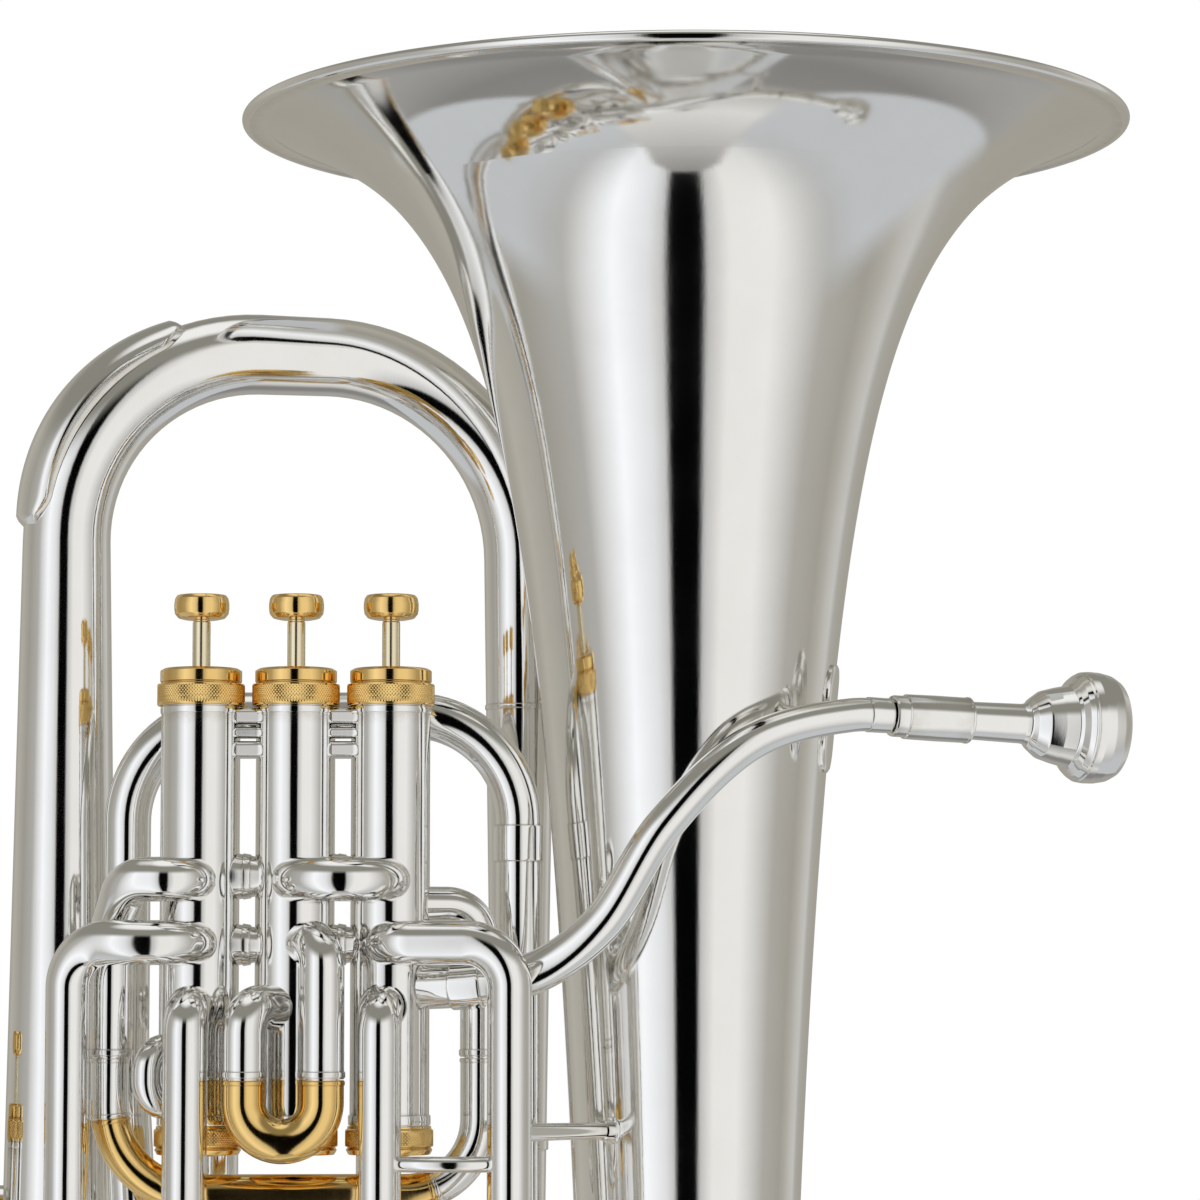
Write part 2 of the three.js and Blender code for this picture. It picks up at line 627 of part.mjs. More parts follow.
function buildFourth() {
  const across = (z) => [[FOURTH.x, FOURTH.y, z], [FOURTH.x, BACK_Y, z, 12]];
  const back = (x, z, bend) => [x, BACK_Y, z, bend];
  const bodyOf = (path) => tube(path, TUBE_R, TUBE_BORE);

  // From the third valve, straight back through the main loop, then down and across.
  add('third_to_fourth_tube', toCasing(bodyOf(route(
    [VALVE_X[2], VALVE_Y, LINK_PORT], back(VALVE_X[2], LINK_PORT, 12),
    back(VALVE_X[2], BACK_PORTS.link, 12), ...across(BACK_PORTS.link).reverse())), 3, 4),
  silver());

  const end = 175;
  const left = { x: -20, y: BACK_Y };
  const right = { x: 12, y: BACK_Y };
  add('fourth_slide_short_tube', toCasing(bodyOf(route(
    ...across(BACK_PORTS.short), back(left.x, BACK_PORTS.short, 14),
    back(left.x, end))), 4), silver());
  add('fourth_slide_long_tube', toCasing(bodyOf(route(
    ...across(BACK_PORTS.long), back(right.x, BACK_PORTS.long, 14),
    back(right.x, end))), 4), silver());
  add('fourth_slide', slideBow({
    left, right, tops: 214, shoulder: end - GAP, crown: 92, bends: [16, 16],
  }), gold());
}

buildFourth();

// ------------------------------------------------------ leadpipe and mouthpiece

function buildLeadpipe() {
  const path = curveRoute([
    [VALVE_X[0] + 9, VALVE_Y - 2.2, 356.4],
    [36, -50.3, 357.5],
    [55, -53, 361.5],
    [75.3, -58.5, 376.5],
    [96.2, -62, 408.7],
    [125.3, -58, 436],
    [156.6, -47, 444.8],
    [RECEIVER_FOOT.x, RECEIVER_FOOT.y, RECEIVER_FOOT.z],
  ], 12);
  const radius = (t) => THREE.MathUtils.lerp(7.2, 5.4, t);
  add('leadpipe', toCasing(tube(path, radius, (t) => radius(t) - 0.9, 8), 1), silver());

  const head = new THREE.Group();
  head.position.copy(RECEIVER_FOOT);
  head.quaternion.setFromUnitVectors(new THREE.Vector3(0, 0, 1), MOUTH_AXIS);
  euphonium.add(head);
  add('mouthpiece_receiver', turned([
    [4.5, 0.6], [6.8, 0.6], [6.8, 5], [7.4, 6], [7.6, RECEIVER_LENGTH],
    [7, RECEIVER_LENGTH], [6.6, 5], [4.5, 5],
  ], 12), silver(), head);
  add('mouthpiece', turned([
    [4.4, 6], [5.8, 6], [6.6, 47], [7, 49], [11.2, 53.6], [12.6, 58.5], [13.6, 63],
    [17.6, 66.5], [18.5, 69.5], [18.4, 74], [16.8, 79], [14.6, 80.3], [13.2, 79],
    [11.2, 68], [8, 60], [3.4, 52],
  ], 16), silver(), head);
}

buildLeadpipe();

// --------------------------------------------------------------------- braces

// Plate that lies on the bell, where the given block crosses its skin.
function bellPlate(block, thickness) {
  const skin = (offset) => {
    const profile = bellProfile(-offset).reverse();
    const shape = turned([[0, profile[0][1]], ...profile, [0, profile.at(-1)[1]]], 32, false);
    return toSolid(shape.translate(BELL_X, 0, 0));
  };
  return skin(GAP + thickness).subtract(skin(GAP)).intersect(toSolid(block));
}

function brace(name, bellEnd, farEnd, radius, plateSize, clearOf) {
  const direction = new THREE.Vector3(bellEnd[0] - BELL_X, bellEnd[1], 0);
  const block = new THREE.BoxGeometry(30, plateSize[0], plateSize[1]);
  block.rotateZ(Math.atan2(direction.y, direction.x));
  block.translate(bellEnd[0], bellEnd[1], bellEnd[2]);
  const plate = bellPlate(outward(block), 1.6);
  const toward = vec(farEnd).sub(vec(bellEnd)).normalize().multiplyScalar(-3);
  const start = vec(bellEnd).add(toward).toArray();
  const hull = bellProfile(-GAP).reverse();
  const bellBody = turned([[0, hull[0][1]], ...hull, [0, hull.at(-1)[1]]], 32, false);
  bellBody.translate(BELL_X, 0, 0);
  const post = toSolid(rod(start, farEnd, radius, 8));
  const body = plate.add(post).subtract(toSolid(bellBody));
  add(name, toGeometry(body.subtract(toSolid(clearOf))), silver());
}

brace('leadpipe_brace', [151.9, -11.3, 446], [153, -46, 444.6], 2.6, [18, 36],
  rod([140, -52.95, 444.6], [166, -43.2, 444.9], 6.2, 16));
brace('bell_brace', [79, -29.4, 310], [49, -64, 310], 2.7, [12, 22], rod(
  [FIRST_SLIDE_RIGHT.x, FIRST_SLIDE_RIGHT.y, 290],
  [FIRST_SLIDE_RIGHT.x, FIRST_SLIDE_RIGHT.y, 330], TUBE_R + 0.6, 16));

// ------------------------------------------------------------------ water key

// Lever on the front of the main slide, hinged across it, with a foot that carries
// the cork under the lowest point of the bow.
function buildWaterKey() {
  const x = REAR_RIGHT_X;
  const arm = new THREE.BoxGeometry(4, 2, 46).translate(x, -33.2, 226.5);
  const hub = rod([x - 4.5, -33.2, 236], [x + 4.5, -33.2, 236], 2.4, 10);
  const foot = new THREE.BoxGeometry(4, 42, 2).translate(x, -13.2, 204.5);
  const pad = rod([x, 4, 204], [x, 4, 207.6], 3.8, 12);
  add('main_water_key', join(outward(arm), hub, outward(foot), pad), gold());
}

buildWaterKey();

export default euphonium;
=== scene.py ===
import math

import bpy
import numpy as np
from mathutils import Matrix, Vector


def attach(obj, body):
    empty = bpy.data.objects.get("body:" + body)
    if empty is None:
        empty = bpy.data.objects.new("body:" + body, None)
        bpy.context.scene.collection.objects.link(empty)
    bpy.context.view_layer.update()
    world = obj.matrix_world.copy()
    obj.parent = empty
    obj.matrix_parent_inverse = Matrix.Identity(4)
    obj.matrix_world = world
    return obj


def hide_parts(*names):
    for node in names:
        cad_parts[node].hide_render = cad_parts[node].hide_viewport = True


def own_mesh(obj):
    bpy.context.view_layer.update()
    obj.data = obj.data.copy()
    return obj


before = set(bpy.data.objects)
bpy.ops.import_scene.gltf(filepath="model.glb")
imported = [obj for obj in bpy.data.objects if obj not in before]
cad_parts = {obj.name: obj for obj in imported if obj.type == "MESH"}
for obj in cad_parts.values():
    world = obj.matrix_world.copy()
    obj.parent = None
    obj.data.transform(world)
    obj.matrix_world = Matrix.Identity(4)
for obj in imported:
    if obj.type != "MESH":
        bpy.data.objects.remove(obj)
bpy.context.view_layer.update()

# Lengths below are in millimetres, in the frame of the CAD part, and turn into metres
# when a mesh is made.  +Z is up, +X points to the bell, -Y is the valves' side.
MM = 0.001

# ---------------- dimensions

BELL_X = 104.25
BELL_R = 150.0
HEIGHT = 650.0
FLARE_LENGTH = 20.0
FLARE_POWER = -0.4667
BELL_WALL = 0.9
OUTER_X = -BELL_X
BOW_R_BELL = 32.1
BOW_R_OUTER = 21.8
BOW_Z = 133.44
TOP_BOW_Z = 572.5
TOP_LEFT_BEND = 66.0
TOP_RIGHT_BEND = 68.0
TOP_R_OUTER = 14.7
TOP_R_INNER = 12.3
INNER_FOOT_R = 8.6
INNER_X = 47.6
INNER_Y = 42.0
BRANCH_WALL = 0.8
GUARD_SPREAD = 1.92              # angle that a guard plate wraps round its tube

VALVE_Y = -43.0
V1, V2, V3 = ((x, VALVE_Y) for x in (7.0, -24.0, -55.0))
V4 = (-141.5, -6.0)
VALVE_SEAT = 311.7
FOURTH_DROP = 141.7
CASING_R = 12.9
CASING_BORE = 12.1
CASING_LENGTH = 136.3
CAP_R = 14.3
CAP_CROWN_R = 13.35
STEM_R = 2.95
BUTTON_SEAT = 476.3 - VALVE_SEAT

TUBE_R = 7.2
TUBE_BORE = 6.4
LEG_R = 5.7
LEG_BORE = 4.9
SLIDE_Y = -66.0
UPPER_PORT, LOWER_PORT, KNUCKLE = 391.0, 370.6, 350.0
CROSSOVER, UPPER_CROSSOVER, RETURN_PORT = 370.3, 392.5, 383.0
FIRST_RIGHT = (46.4, -68.0)
THIRD_LEFT = (-96.0, -57.0)
RETURN_LEFT = (-83.4, -46.0)
RETURN_RIGHT = (36.0, -36.5)
BACK_Y = 36.0
REAR_Y = -21.0
REAR_R = 7.6
REAR_LEFT_X, REAR_RIGHT_X = -80.7, 48.3
LINK, LONG, SHORT, OUTLET = 283.0, 258.0, 233.0, 208.0

RECEIVER_FOOT = (169.9, -42.0, 445.0)
MOUTH_AXIS = (0.945, 0.325, -0.035)

BAND = math.radians(4)           # a bend is drawn in steps of this angle
SIDES = 40                       # facets round a small tube
WIDE_SIDES = 72                  # and round the conical branches
KNURL_TEETH, KNURL_ROWS, KNURL_DEPTH = 90, 4, 0.2
KNURL_SIDES = 360

# ---------------- vectors


def vec(*p):
    return np.array(p, float)


def unit(v):
    return v / np.linalg.norm(v)


def spin(v, axis, angle):
    """v turned about a unit axis through the origin."""
    c, s = math.cos(angle), math.sin(angle)
    return v * c + np.cross(axis, v) * s + axis * (axis @ v) * (1 - c)


def lerp(a, b, t):
    return a + (b - a) * t


class Path:
    """A line through space: points, directions and the distance run at each."""

    def __init__(self, at, along):
        self.at = np.array(at, float)
        along = np.array(along, float)
        self.along = along / np.linalg.norm(along, axis=1)[:, None]
        steps = np.linalg.norm(np.diff(self.at, axis=0), axis=1)
        self.s = np.concatenate([[0.0], np.cumsum(steps)])

    @property
    def length(self):
        return float(self.s[-1])

    def place(self, s):
        """Point and direction at distance s."""
        at = np.array([np.interp(s, self.s, self.at[:, k]) for k in range(3)])
        along = np.array([np.interp(s, self.s, self.along[:, k]) for k in range(3)])
        return at, unit(along)

    def cut(self, start, end):
        """The stretch between two distances."""
        stops = [start, *(s for s in self.s if start + 0.05 < s < end - 0.05), end]
        places = [self.place(s) for s in stops]
        return Path([at for at, _ in places], [along for _, along in places])


def route(*corners):
    """Straight from corner to corner [x, y, z, bend radius], with a round bend at each."""
    at, along = [], []
    points = [vec(*c[:3]) for c in corners]
    for i, here in enumerate(points):
        back = unit(points[i - 1] - here) if i else None
        on = unit(points[i + 1] - here) if i < len(points) - 1 else None
        if back is None or on is None:
            at.append(here)
            along.append(on if back is None else -back)
            continue
        radius = corners[i][3]
        angle = math.pi - math.acos(float(np.clip(back @ on, -1, 1)))
        centre = unit(back + on) * radius / math.cos(angle / 2) + here
        arm = back * radius * math.tan(angle / 2) + here - centre
        axis = -unit(np.cross(back, on))
        count = max(4, round(angle / BAND))
        for k in range(count + 1):
            at.append(spin(arm, axis, angle * k / count) + centre)
            along.append(spin(-back, axis, angle * k / count))
    keep = [0] + [
        i for i in range(1, len(at)) if np.linalg.norm(at[i] - at[i - 1]) > 0.05
    ]
    return Path([at[i] for i in keep], [along[i] for i in keep])


def smooth_route(points, count=90):
    """A centripetal Catmull-Rom curve through the points."""
    pts = [vec(*p) for p in points]
    pts = [2 * pts[0] - pts[1]] + pts + [2 * pts[-1] - pts[-2]]
    fine = []
    for i in range(len(pts) - 3):
        p = pts[i : i + 4]
        t = [0.0]
        for a, b in zip(p, p[1:]):
            t.append(t[-1] + np.linalg.norm(b - a) ** 0.5)
        for u in np.linspace(t[1], t[2], 40, endpoint=i == len(pts) - 4):
            a1, a2, a3 = (
                p[k] * (t[k + 1] - u) / (t[k + 1] - t[k])
                + p[k + 1] * (u - t[k]) / (t[k + 1] - t[k])
                for k in range(3)
            )
            b1 = a1 * (t[2] - u) / (t[2] - t[0]) + a2 * (u - t[0]) / (t[2] - t[0])
            b2 = a2 * (t[3] - u) / (t[3] - t[1]) + a3 * (u - t[1]) / (t[3] - t[1])
            fine.append(b1 * (t[2] - u) / (t[2] - t[1]) + b2 * (u - t[1]) / (t[2] - t[1]))
    fine = np.array(fine)
    run = np.concatenate([[0], np.cumsum(np.linalg.norm(np.diff(fine, axis=0), axis=1))])
    at = np.array([
        [np.interp(s, run, fine[:, k]) for k in range(3)]
        for s in np.linspace(0, run[-1], count + 1)
    ])
    return Path(at, np.gradient(at, axis=0))


# ---------------- meshes


def between_rings(n, rows, closed=False, first=0):
    """Quads over rows of n points each; closed joins the last row to the first."""
    faces = []
    for i in range(rows if closed else rows - 1):
        a, b = first + i * n, first + (i + 1) % rows * n
        faces += [[a + k, a + (k + 1) % n, b + (k + 1) % n, b + k] for k in range(n)]
    return faces


class Shell:
    """Vertices, faces and a value of painted shade and tarnish for each vertex, gathered into
    one mesh.
    """

    def __init__(self):
        self.points, self.faces, self.shade_and_tarnish = [], [], []

    def add(self, points, faces, shade_and_tarnish=0.0):
        base = sum(len(p) for p in self.points)
        points = np.asarray(points, float)
        self.points.append(points)
        self.faces += [[base + i for i in f] for f in faces]
        self.shade_and_tarnish.append(np.broadcast_to(shade_and_tarnish, (len(points),)).astype(float))
        return self

    def loft(self, rings, shade_and_tarnish=None, closed=False):
        """Skin over rings of points; closed joins the last ring to the first."""
        n, rows = len(rings[0]), len(rings)
        faces = between_rings(n, rows, closed)
        if not closed:
            faces.append(list(range(n))[::-1])
            faces.append([(rows - 1) * n + k for k in range(n)])
        spread = 0.0 if shade_and_tarnish is None else np.repeat(np.asarray(shade_and_tarnish, float), n)
        return self.add(np.concatenate(rings), faces, spread)

    def sweep(self, path, rows, bore=None, sides=SIDES, edges=(), ends_on=(None, None)):
        """Tube along a path.  rows are (distance, radius); bore is a radius function.
        edges are distances where painted shade and tarnish gather; ends_on trims an end to a
        casing's side."""
        skin = self._rings(path, rows, sides)
        lining = []
        if bore:
            lining = self._rings(path, [(s, bore(s)) for s in path.s], sides)
        for end, casing in zip((0, -1), ends_on):
            if casing is None:
                continue
            along = path.along[end] if end else -path.along[end]
            for rings in (skin, lining):
                if rings:
                    rings[end] = onto_casing(rings[end], along, casing)
        # Painted shade and tarnish fall off from each band's edge.
        shade_and_tarnish = [
            max([math.exp(-abs(s - e) / 0.5) for e in edges], default=0.0)
            for s, _ in rows
        ]
        if not bore:
            return self.loft(skin, shade_and_tarnish)
        # The bore's lining is darkened all along by painted shade, at 0.4 on the mask.
        return self.loft(
            skin + lining[::-1], shade_and_tarnish + [0.4] * len(lining), closed=True)

    @staticmethod
    def _rings(path, rows, sides):
        rings = []
        normal = vec(0, 1, 0)
        if abs(path.along[0] @ normal) > 0.9:
            normal = vec(1, 0, 0)
        angles = 2 * math.pi * (np.arange(sides) + 0.5) / sides
        for s, r in rows:
            at, along = path.place(s)
            normal = unit(normal - along * (along @ normal))
            side = np.cross(along, normal)
            rings.append(
                at + r * (np.outer(np.cos(angles), normal) + np.outer(np.sin(angles), side)))
        return rings

    def turned(self, profile, sides=SIDES, shade_and_tarnish=None, knurl=None):
        """Body of revolution about +Z.  The profile is (radius, height) round the
        section; a radius of 0 at both ends makes a solid.  knurl is the lowest and the
        highest place of a band of diamond teeth on a cap's rim."""
        solid = profile[0][0] == 0 and profile[-1][0] == 0
        angles = 2 * math.pi * np.arange(sides) / sides
        rows = profile[1:-1] if solid else profile
        rings = []
        for r, z in rows:
            radius = np.full(sides, float(r))
            if knurl and knurl[0] <= z <= knurl[1] and r > CAP_R - 0.1:
                phase = 2 * math.pi * KNURL_ROWS * (z - knurl[0]) / (knurl[1] - knurl[0])
                a, b = (0.5 + 0.5 * np.cos(KNURL_TEETH * angles + lean)
                        for lean in (phase, -phase))
                radius -= KNURL_DEPTH * np.maximum(a, b) ** 3
            rings.append(np.stack(
                [radius * np.cos(angles), radius * np.sin(angles), np.full(sides, z)], 1))
        if not solid:
            return self.loft(rings, shade_and_tarnish, closed=True)
        points = np.concatenate([[[0, 0, profile[0][1]]], *rings, [[0, 0, profile[-1][1]]]])
        n, last = sides, len(points) - 1
        faces = between_rings(n, len(rings), first=1)
        faces += [[0, 1 + (k + 1) % n, 1 + k] for k in range(n)]
        faces += [[last, last - n + k, last - n + (k + 1) % n] for k in range(n)]
        spread = 0.0 if shade_and_tarnish is None else np.repeat(shade_and_tarnish, [1, *[n] * len(rings), 1])
        return self.add(points, faces, spread)

    def move(self, offset, axis=None):
        """Shifts everything added so far, after tilting +Z onto an axis."""
        up = Vector((0, 0, 1))
        tilt = np.array(up.rotation_difference(Vector(axis or up)).to_matrix())
        for p in self.points:
            p[:] = p @ tilt.T + offset
        return self

    def merge(self, other):
        return self.add(
            np.concatenate(other.points), other.faces, np.concatenate(other.shade_and_tarnish))


def oval(count, power=1.0):
    """Cosines and sines round an oval; a power below 1 makes it squarer."""
    angles = 2 * math.pi * np.arange(count) / count
    return tuple(np.sign(f) * np.abs(f) ** power for f in (np.cos(angles), np.sin(angles)))


def onto_casing(ring, along, casing):
    """Slides an end ring along the tube until it lies in the casing's wall."""
    x, y = casing
    hidden = CASING_R - 0.4
    out = []
    for p in ring:
        d = vec(p[0] - x, p[1] - y)
        v = along[:2]
        a, b, c = v @ v, 2 * (d @ v), d @ d - hidden ** 2
        root = b * b - 4 * a * c
        t = (-b - math.sqrt(root)) / (2 * a) if root > 0 else -(d @ v) / a
        out.append(p + along * t)
    return np.array(out)


def bands(path, base, *raised, dense=()):
    """Rows (distance, radius) of a plain tube with raised bands (start, end, lift);
    a negative distance counts from the far end."""
    fixed = []
    for start, end, lift in raised:
        start, end = (d + path.length if d < 0 else d for d in (start, end))
        fixed.append((min(start, end), max(start, end), lift))
    rows = []
    for s in list(path.s) + list(dense):
        lift = next((h for a, b, h in fixed if a < s < b), None)
        if lift is None:
            rows.append((s, base(s)))
        elif not any(abs(s - d) < 1.0 for a, b, _ in fixed for d in (a, b)):
            rows.append((s, base(s) + lift))
    edges = []
    for a, b, lift in fixed:
        soft = min(0.35, (b - a) / 3)
        for d, out in ((a, -1), (b, 1)):
            edges.append(d)
            shape = [(d + out * 1.8, 0), (d + out * 0.6, 0), (d, 0), (d, lift * 0.6),
                     (d - out * soft * 0.4, lift * 0.9), (d - out * soft, lift)]
            if b - a > 5:
                shape += [(d - out * 0.9, lift), (d - out * 2.2, lift)]
            for s, h in shape if out < 0 else shape[::-1]:
                if 0 <= s <= path.length:
                    rows.append((s, base(s) + h))
    return sorted(rows, key=lambda row: row[0]), edges


def rounded(corners, steps=4):
    """Profile with rounded corners: (radius, height[, fillet])."""
    out = []
    n = len(corners)
    for i, corner in enumerate(corners):
        p = vec(*corner[:2])
        fillet = corner[2] if len(corner) > 2 else 0
        if not fillet:
            out.append(tuple(p))
            continue
        a, b = vec(*corners[i - 1][:2]), vec(*corners[(i + 1) % n][:2])
        ua, ub = unit(a - p), unit(b - p)
        half = math.acos(float(np.clip(ua @ ub, -1, 1))) / 2
        reach = min(fillet / math.tan(half), np.linalg.norm(a - p) * 0.49,
                    np.linalg.norm(b - p) * 0.49)
        start, end = p + ua * reach, p + ub * reach
        for k in range(steps + 1):
            t = k / steps
            out.append(tuple(start * (1 - t) ** 2 + 2 * p * t * (1 - t) + end * t * t))
    return out


# ---------------- materials


class Graph:
    """The node tree of a material or a world, built by calling."""

    def __init__(self, owner):
        owner.use_nodes = True
        self.tree = owner.node_tree
        self.tree.nodes.clear()

    def node(self, kind, inputs=(), **settings):
        made = self.tree.nodes.new("ShaderNode" + kind)
        for key, value in settings.items():
            setattr(made, key, value)
        for key, value in dict(inputs).items():
            if isinstance(value, bpy.types.NodeSocket):
                self.tree.links.new(value, made.inputs[key])
            else:
                made.inputs[key].default_value = value
        return made

    def coordinates(self, kind="Object"):
        return self.node("TexCoord").outputs[kind]

    def noise(self, place, scale, detail, roughness=0.5):
        return self.node("TexNoise", {"Vector": place, "Scale": scale, "Detail": detail,
                                      "Roughness": roughness}).outputs["Fac"]

    def compute(self, operation, *values):
        return self.node("Math", dict(enumerate(values)), operation=operation).outputs[0]

    def rescale(self, value, low, high, to_low=0.0, to_high=1.0, **settings):
        """low..high turned into to_low..to_high, and held there beyond both ends."""
        return self.node("MapRange", {
            "Value": value, "From Min": low, "From Max": high, "To Min": to_low,
            "To Max": to_high}, **settings).outputs[0]

    def smooth(self, value, low, high):
        return self.rescale(value, low, high, interpolation_type="SMOOTHSTEP")

    def mix(self, share, first, second):
        # Sockets 6 and 7 of the node are its two colours.
        return self.node("Mix", {"Factor": share, 6: first, 7: second},
                         data_type="RGBA").outputs[2]

    def bump(self, height, strength, distance, **inputs):
        return self.node("Bump", {"Height": height, "Strength": strength,
                                  "Distance": distance, **inputs}).outputs["Normal"]

    def surface(self, **inputs):
        """A Principled surface; its inputs are spelt with underscores for spaces."""
        named = {key.replace("_", " "): value for key, value in inputs.items()}
        shader = self.node("BsdfPrincipled", named)
        self.node("OutputMaterial", {"Surface": shader.outputs["BSDF"]})


def plated(name, colour, deep, roughness, spread):
    """Bright metal plating: faint polishing marks, smears that change the gloss,
    and a darker colour that gathers where the mesh says parts are joined, in grooves and in
    bores: partly tarnish, partly painted shade standing in for occlusion."""
    material = bpy.data.materials.new(name)
    graph = Graph(material)
    place = graph.coordinates()
    smear = graph.noise(place, 26.0, 5.0, 0.62)
    streaks = graph.node("Mapping", {"Vector": place, "Scale": (900.0, 900.0, 70.0)})
    hair = graph.noise(streaks.outputs["Vector"], 1.0, 3.0, 0.7)
    swell = graph.noise(place, 55.0, 1.0)
    # The mesh's mask marks seams, grooves and bores: tarnish in spots, and painted shade where
    # crevices would be in shadow.
    shade_tarnish_marks = graph.node("Attribute", attribute_name="shade_and_tarnish").outputs["Fac"]
    spots = graph.noise(place, 210.0, 4.0, 0.7)
    painted_shade_tarnish_mix = graph.compute("MULTIPLY", shade_tarnish_marks, spots)
    painted_shade_tarnish_mix = graph.rescale(painted_shade_tarnish_mix, 0.12, 0.75, to_high=0.7)
    tone = graph.rescale(smear, 0.35, 0.75, to_high=0.10)
    # The dark colour mixed in by that mask is painted shade and tarnish; the smears add random
    # tone.
    paint = graph.mix(graph.compute("MAXIMUM", painted_shade_tarnish_mix, tone), (*colour, 1), (*deep, 1))
    gloss = graph.rescale(smear, 0.3, 0.75, roughness, roughness + spread)
    dull = graph.compute("MULTIPLY_ADD", painted_shade_tarnish_mix, 0.12, gloss)
    rub = graph.compute("MULTIPLY_ADD", hair, 0.02, dull)
    waves = graph.bump(swell, 0.012, 0.002)
    marks = graph.bump(hair, 0.03, 0.0002, Normal=waves)
    graph.surface(Base_Color=paint, Roughness=rub, Metallic=1.0, Normal=marks)
    return material


def cork_material():
    material = bpy.data.materials.new("cork_grain")
    graph = Graph(material)
    place = graph.coordinates()
    cells = graph.node("TexVoronoi", {"Vector": place, "Scale": 1100.0})
    blend = graph.compute(
        "MULTIPLY", cells.outputs["Distance"], graph.noise(place, 420.0, 5.0))
    graph.surface(
        Base_Color=graph.mix(blend, (0.50, 0.30, 0.15, 1), (0.22, 0.11, 0.05, 1)),
        Roughness=0.85, Normal=graph.bump(blend, 0.5, 0.0004))
    return material


SILVER = plated("silver_finish", (0.93, 0.925, 0.905), (0.52, 0.46, 0.36), 0.035, 0.05)
GOLD = plated("gold_finish", (0.94, 0.65, 0.25), (0.42, 0.22, 0.07), 0.06, 0.07)
PALE = plated("pale_gold_finish", (0.90, 0.80, 0.56), (0.46, 0.34, 0.16), 0.09, 0.07)
NICKEL = plated("nickel_finish", (0.66, 0.64, 0.60), (0.34, 0.31, 0.27), 0.16, 0.10)
STEEL = plated("steel_finish", (0.46, 0.46, 0.47), (0.22, 0.17, 0.13), 0.24, 0.12)
CORK = cork_material()

SHARP = math.radians(32)


def linked(name, data):
    """An object that is part of the scene."""
    made = bpy.data.objects.new(name, data)
    bpy.context.scene.collection.objects.link(made)
    return made


def piece(name, shell, material, body, *nodes):
    """Makes the object, lets it ride on its body and stand for its CAD nodes."""
    mesh = bpy.data.meshes.new(name)
    points = np.concatenate(shell.points) * MM
    mesh.from_pydata(points.tolist(), [], shell.faces)
    # The mask of painted shade and tarnish goes onto the mesh as an attribute.
    shade_and_tarnish = mesh.attributes.new("shade_and_tarnish", "FLOAT", "POINT")
    shade_and_tarnish.data.foreach_set("value", np.concatenate(shell.shade_and_tarnish).astype(np.float32))
    mesh.materials.append(material)
    mesh.validate()
    mesh.shade_smooth()
    mesh.set_sharp_from_angle(angle=SHARP)
    made = linked(name, mesh)
    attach(made, body)
    if nodes:
        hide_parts(*nodes)
    return made


def steady(radius):
    return lambda s: radius


def tapering(path, start, end):
    return lambda s: lerp(start, end, s / path.length)


def pipe(name, path, radius, bore, raised, node, sides=SIDES, ends_on=(None, None),
         dense=()):
    """One fixed silver tube with raised bands, as a piece."""
    base = radius if callable(radius) else steady(radius)
    hole = bore if callable(bore) else steady(bore)
    rows, edges = bands(path, base, *raised, dense=dense)
    shell = Shell().sweep(path, rows, hole, sides, edges, ends_on)
    piece(name, shell, SILVER, "body", node)


# ---------------- main conical loop


def flare(depth):
    return BELL_R * (1 + depth / FLARE_LENGTH) ** FLARE_POWER


def bell_skin(z, offset=0.0):
    """Radius of the bell's outside at height z, plus an offset."""
    return flare(HEIGHT - z) + offset


def build_bell():
    depths = np.concatenate([
        np.linspace(3.2, 30, 34), np.linspace(31, 120, 40),
        np.linspace(124, HEIGHT - BOW_Z - 0.3, 60)])
    outside, inside = [], []
    for d in depths:
        r = flare(d)
        slope = FLARE_POWER * r / (FLARE_LENGTH + d)
        length = math.hypot(1, slope)
        outside.append((r, HEIGHT - d))
        inside.append((r - BELL_WALL / length,
                       HEIGHT - d + BELL_WALL * slope / length))
    inside[-1] = (inside[-1][0], outside[-1][1])
    # The rim is rolled outwards round a wire, with a small step under the roll.
    centre_r, centre_z, wire = BELL_R - 1.75, HEIGHT - 1.75, 1.75
    roll = [
        (centre_r + wire * math.cos(a), centre_z + wire * math.sin(a))
        for a in np.linspace(math.radians(-118), math.radians(90), 14)]
    inner_lip = [(BELL_R - 3.6, HEIGHT - 0.25), (BELL_R - 5.2, HEIGHT - 1.4)]
    profile = [*outside[::-1], (BELL_R - 3.0, HEIGHT - 3.0), *roll, *inner_lip,
               *(p for p in inside if p[0] < BELL_R - 6.2)]
    # Painted shade and tarnish darken the step under the rolled rim and the foot where the
    # bell meets the ferrule.
    shade_and_tarnish = []
    for r, z in profile:
        near = abs(r - (BELL_R - 3.0)) + abs(z - (HEIGHT - 3.2))
        shade_and_tarnish.append(0.9 * math.exp(-near / 1.5) + 0.5 * math.exp(-(z - BOW_Z) / 1.5))
    shell = Shell().turned(profile, 220, shade_and_tarnish).move((BELL_X, 0, 0))
    piece("bell_flare", shell, SILVER, "body", "bell")

    # Ferrule over the joint with the bottom bow.
    low, high = BOW_Z - 1.0, BOW_Z + 26.0
    r = BOW_R_BELL
    ring = rounded([
        (r + 0.15, low), (r + 1.5, low, 0.5), (r + 1.5, low + 3, 0.6), (r + 0.95, low + 3.6),
        (bell_skin(high - 4, 0.95), high - 3.6), (bell_skin(high - 3, 1.5), high - 3, 0.6),
        (bell_skin(high, 1.5), high, 0.5), (bell_skin(high, 0.12), high)])
    piece("bell_ferrule", Shell().turned(ring, WIDE_SIDES).move((BELL_X, 0, 0)),
          SILVER, "body")


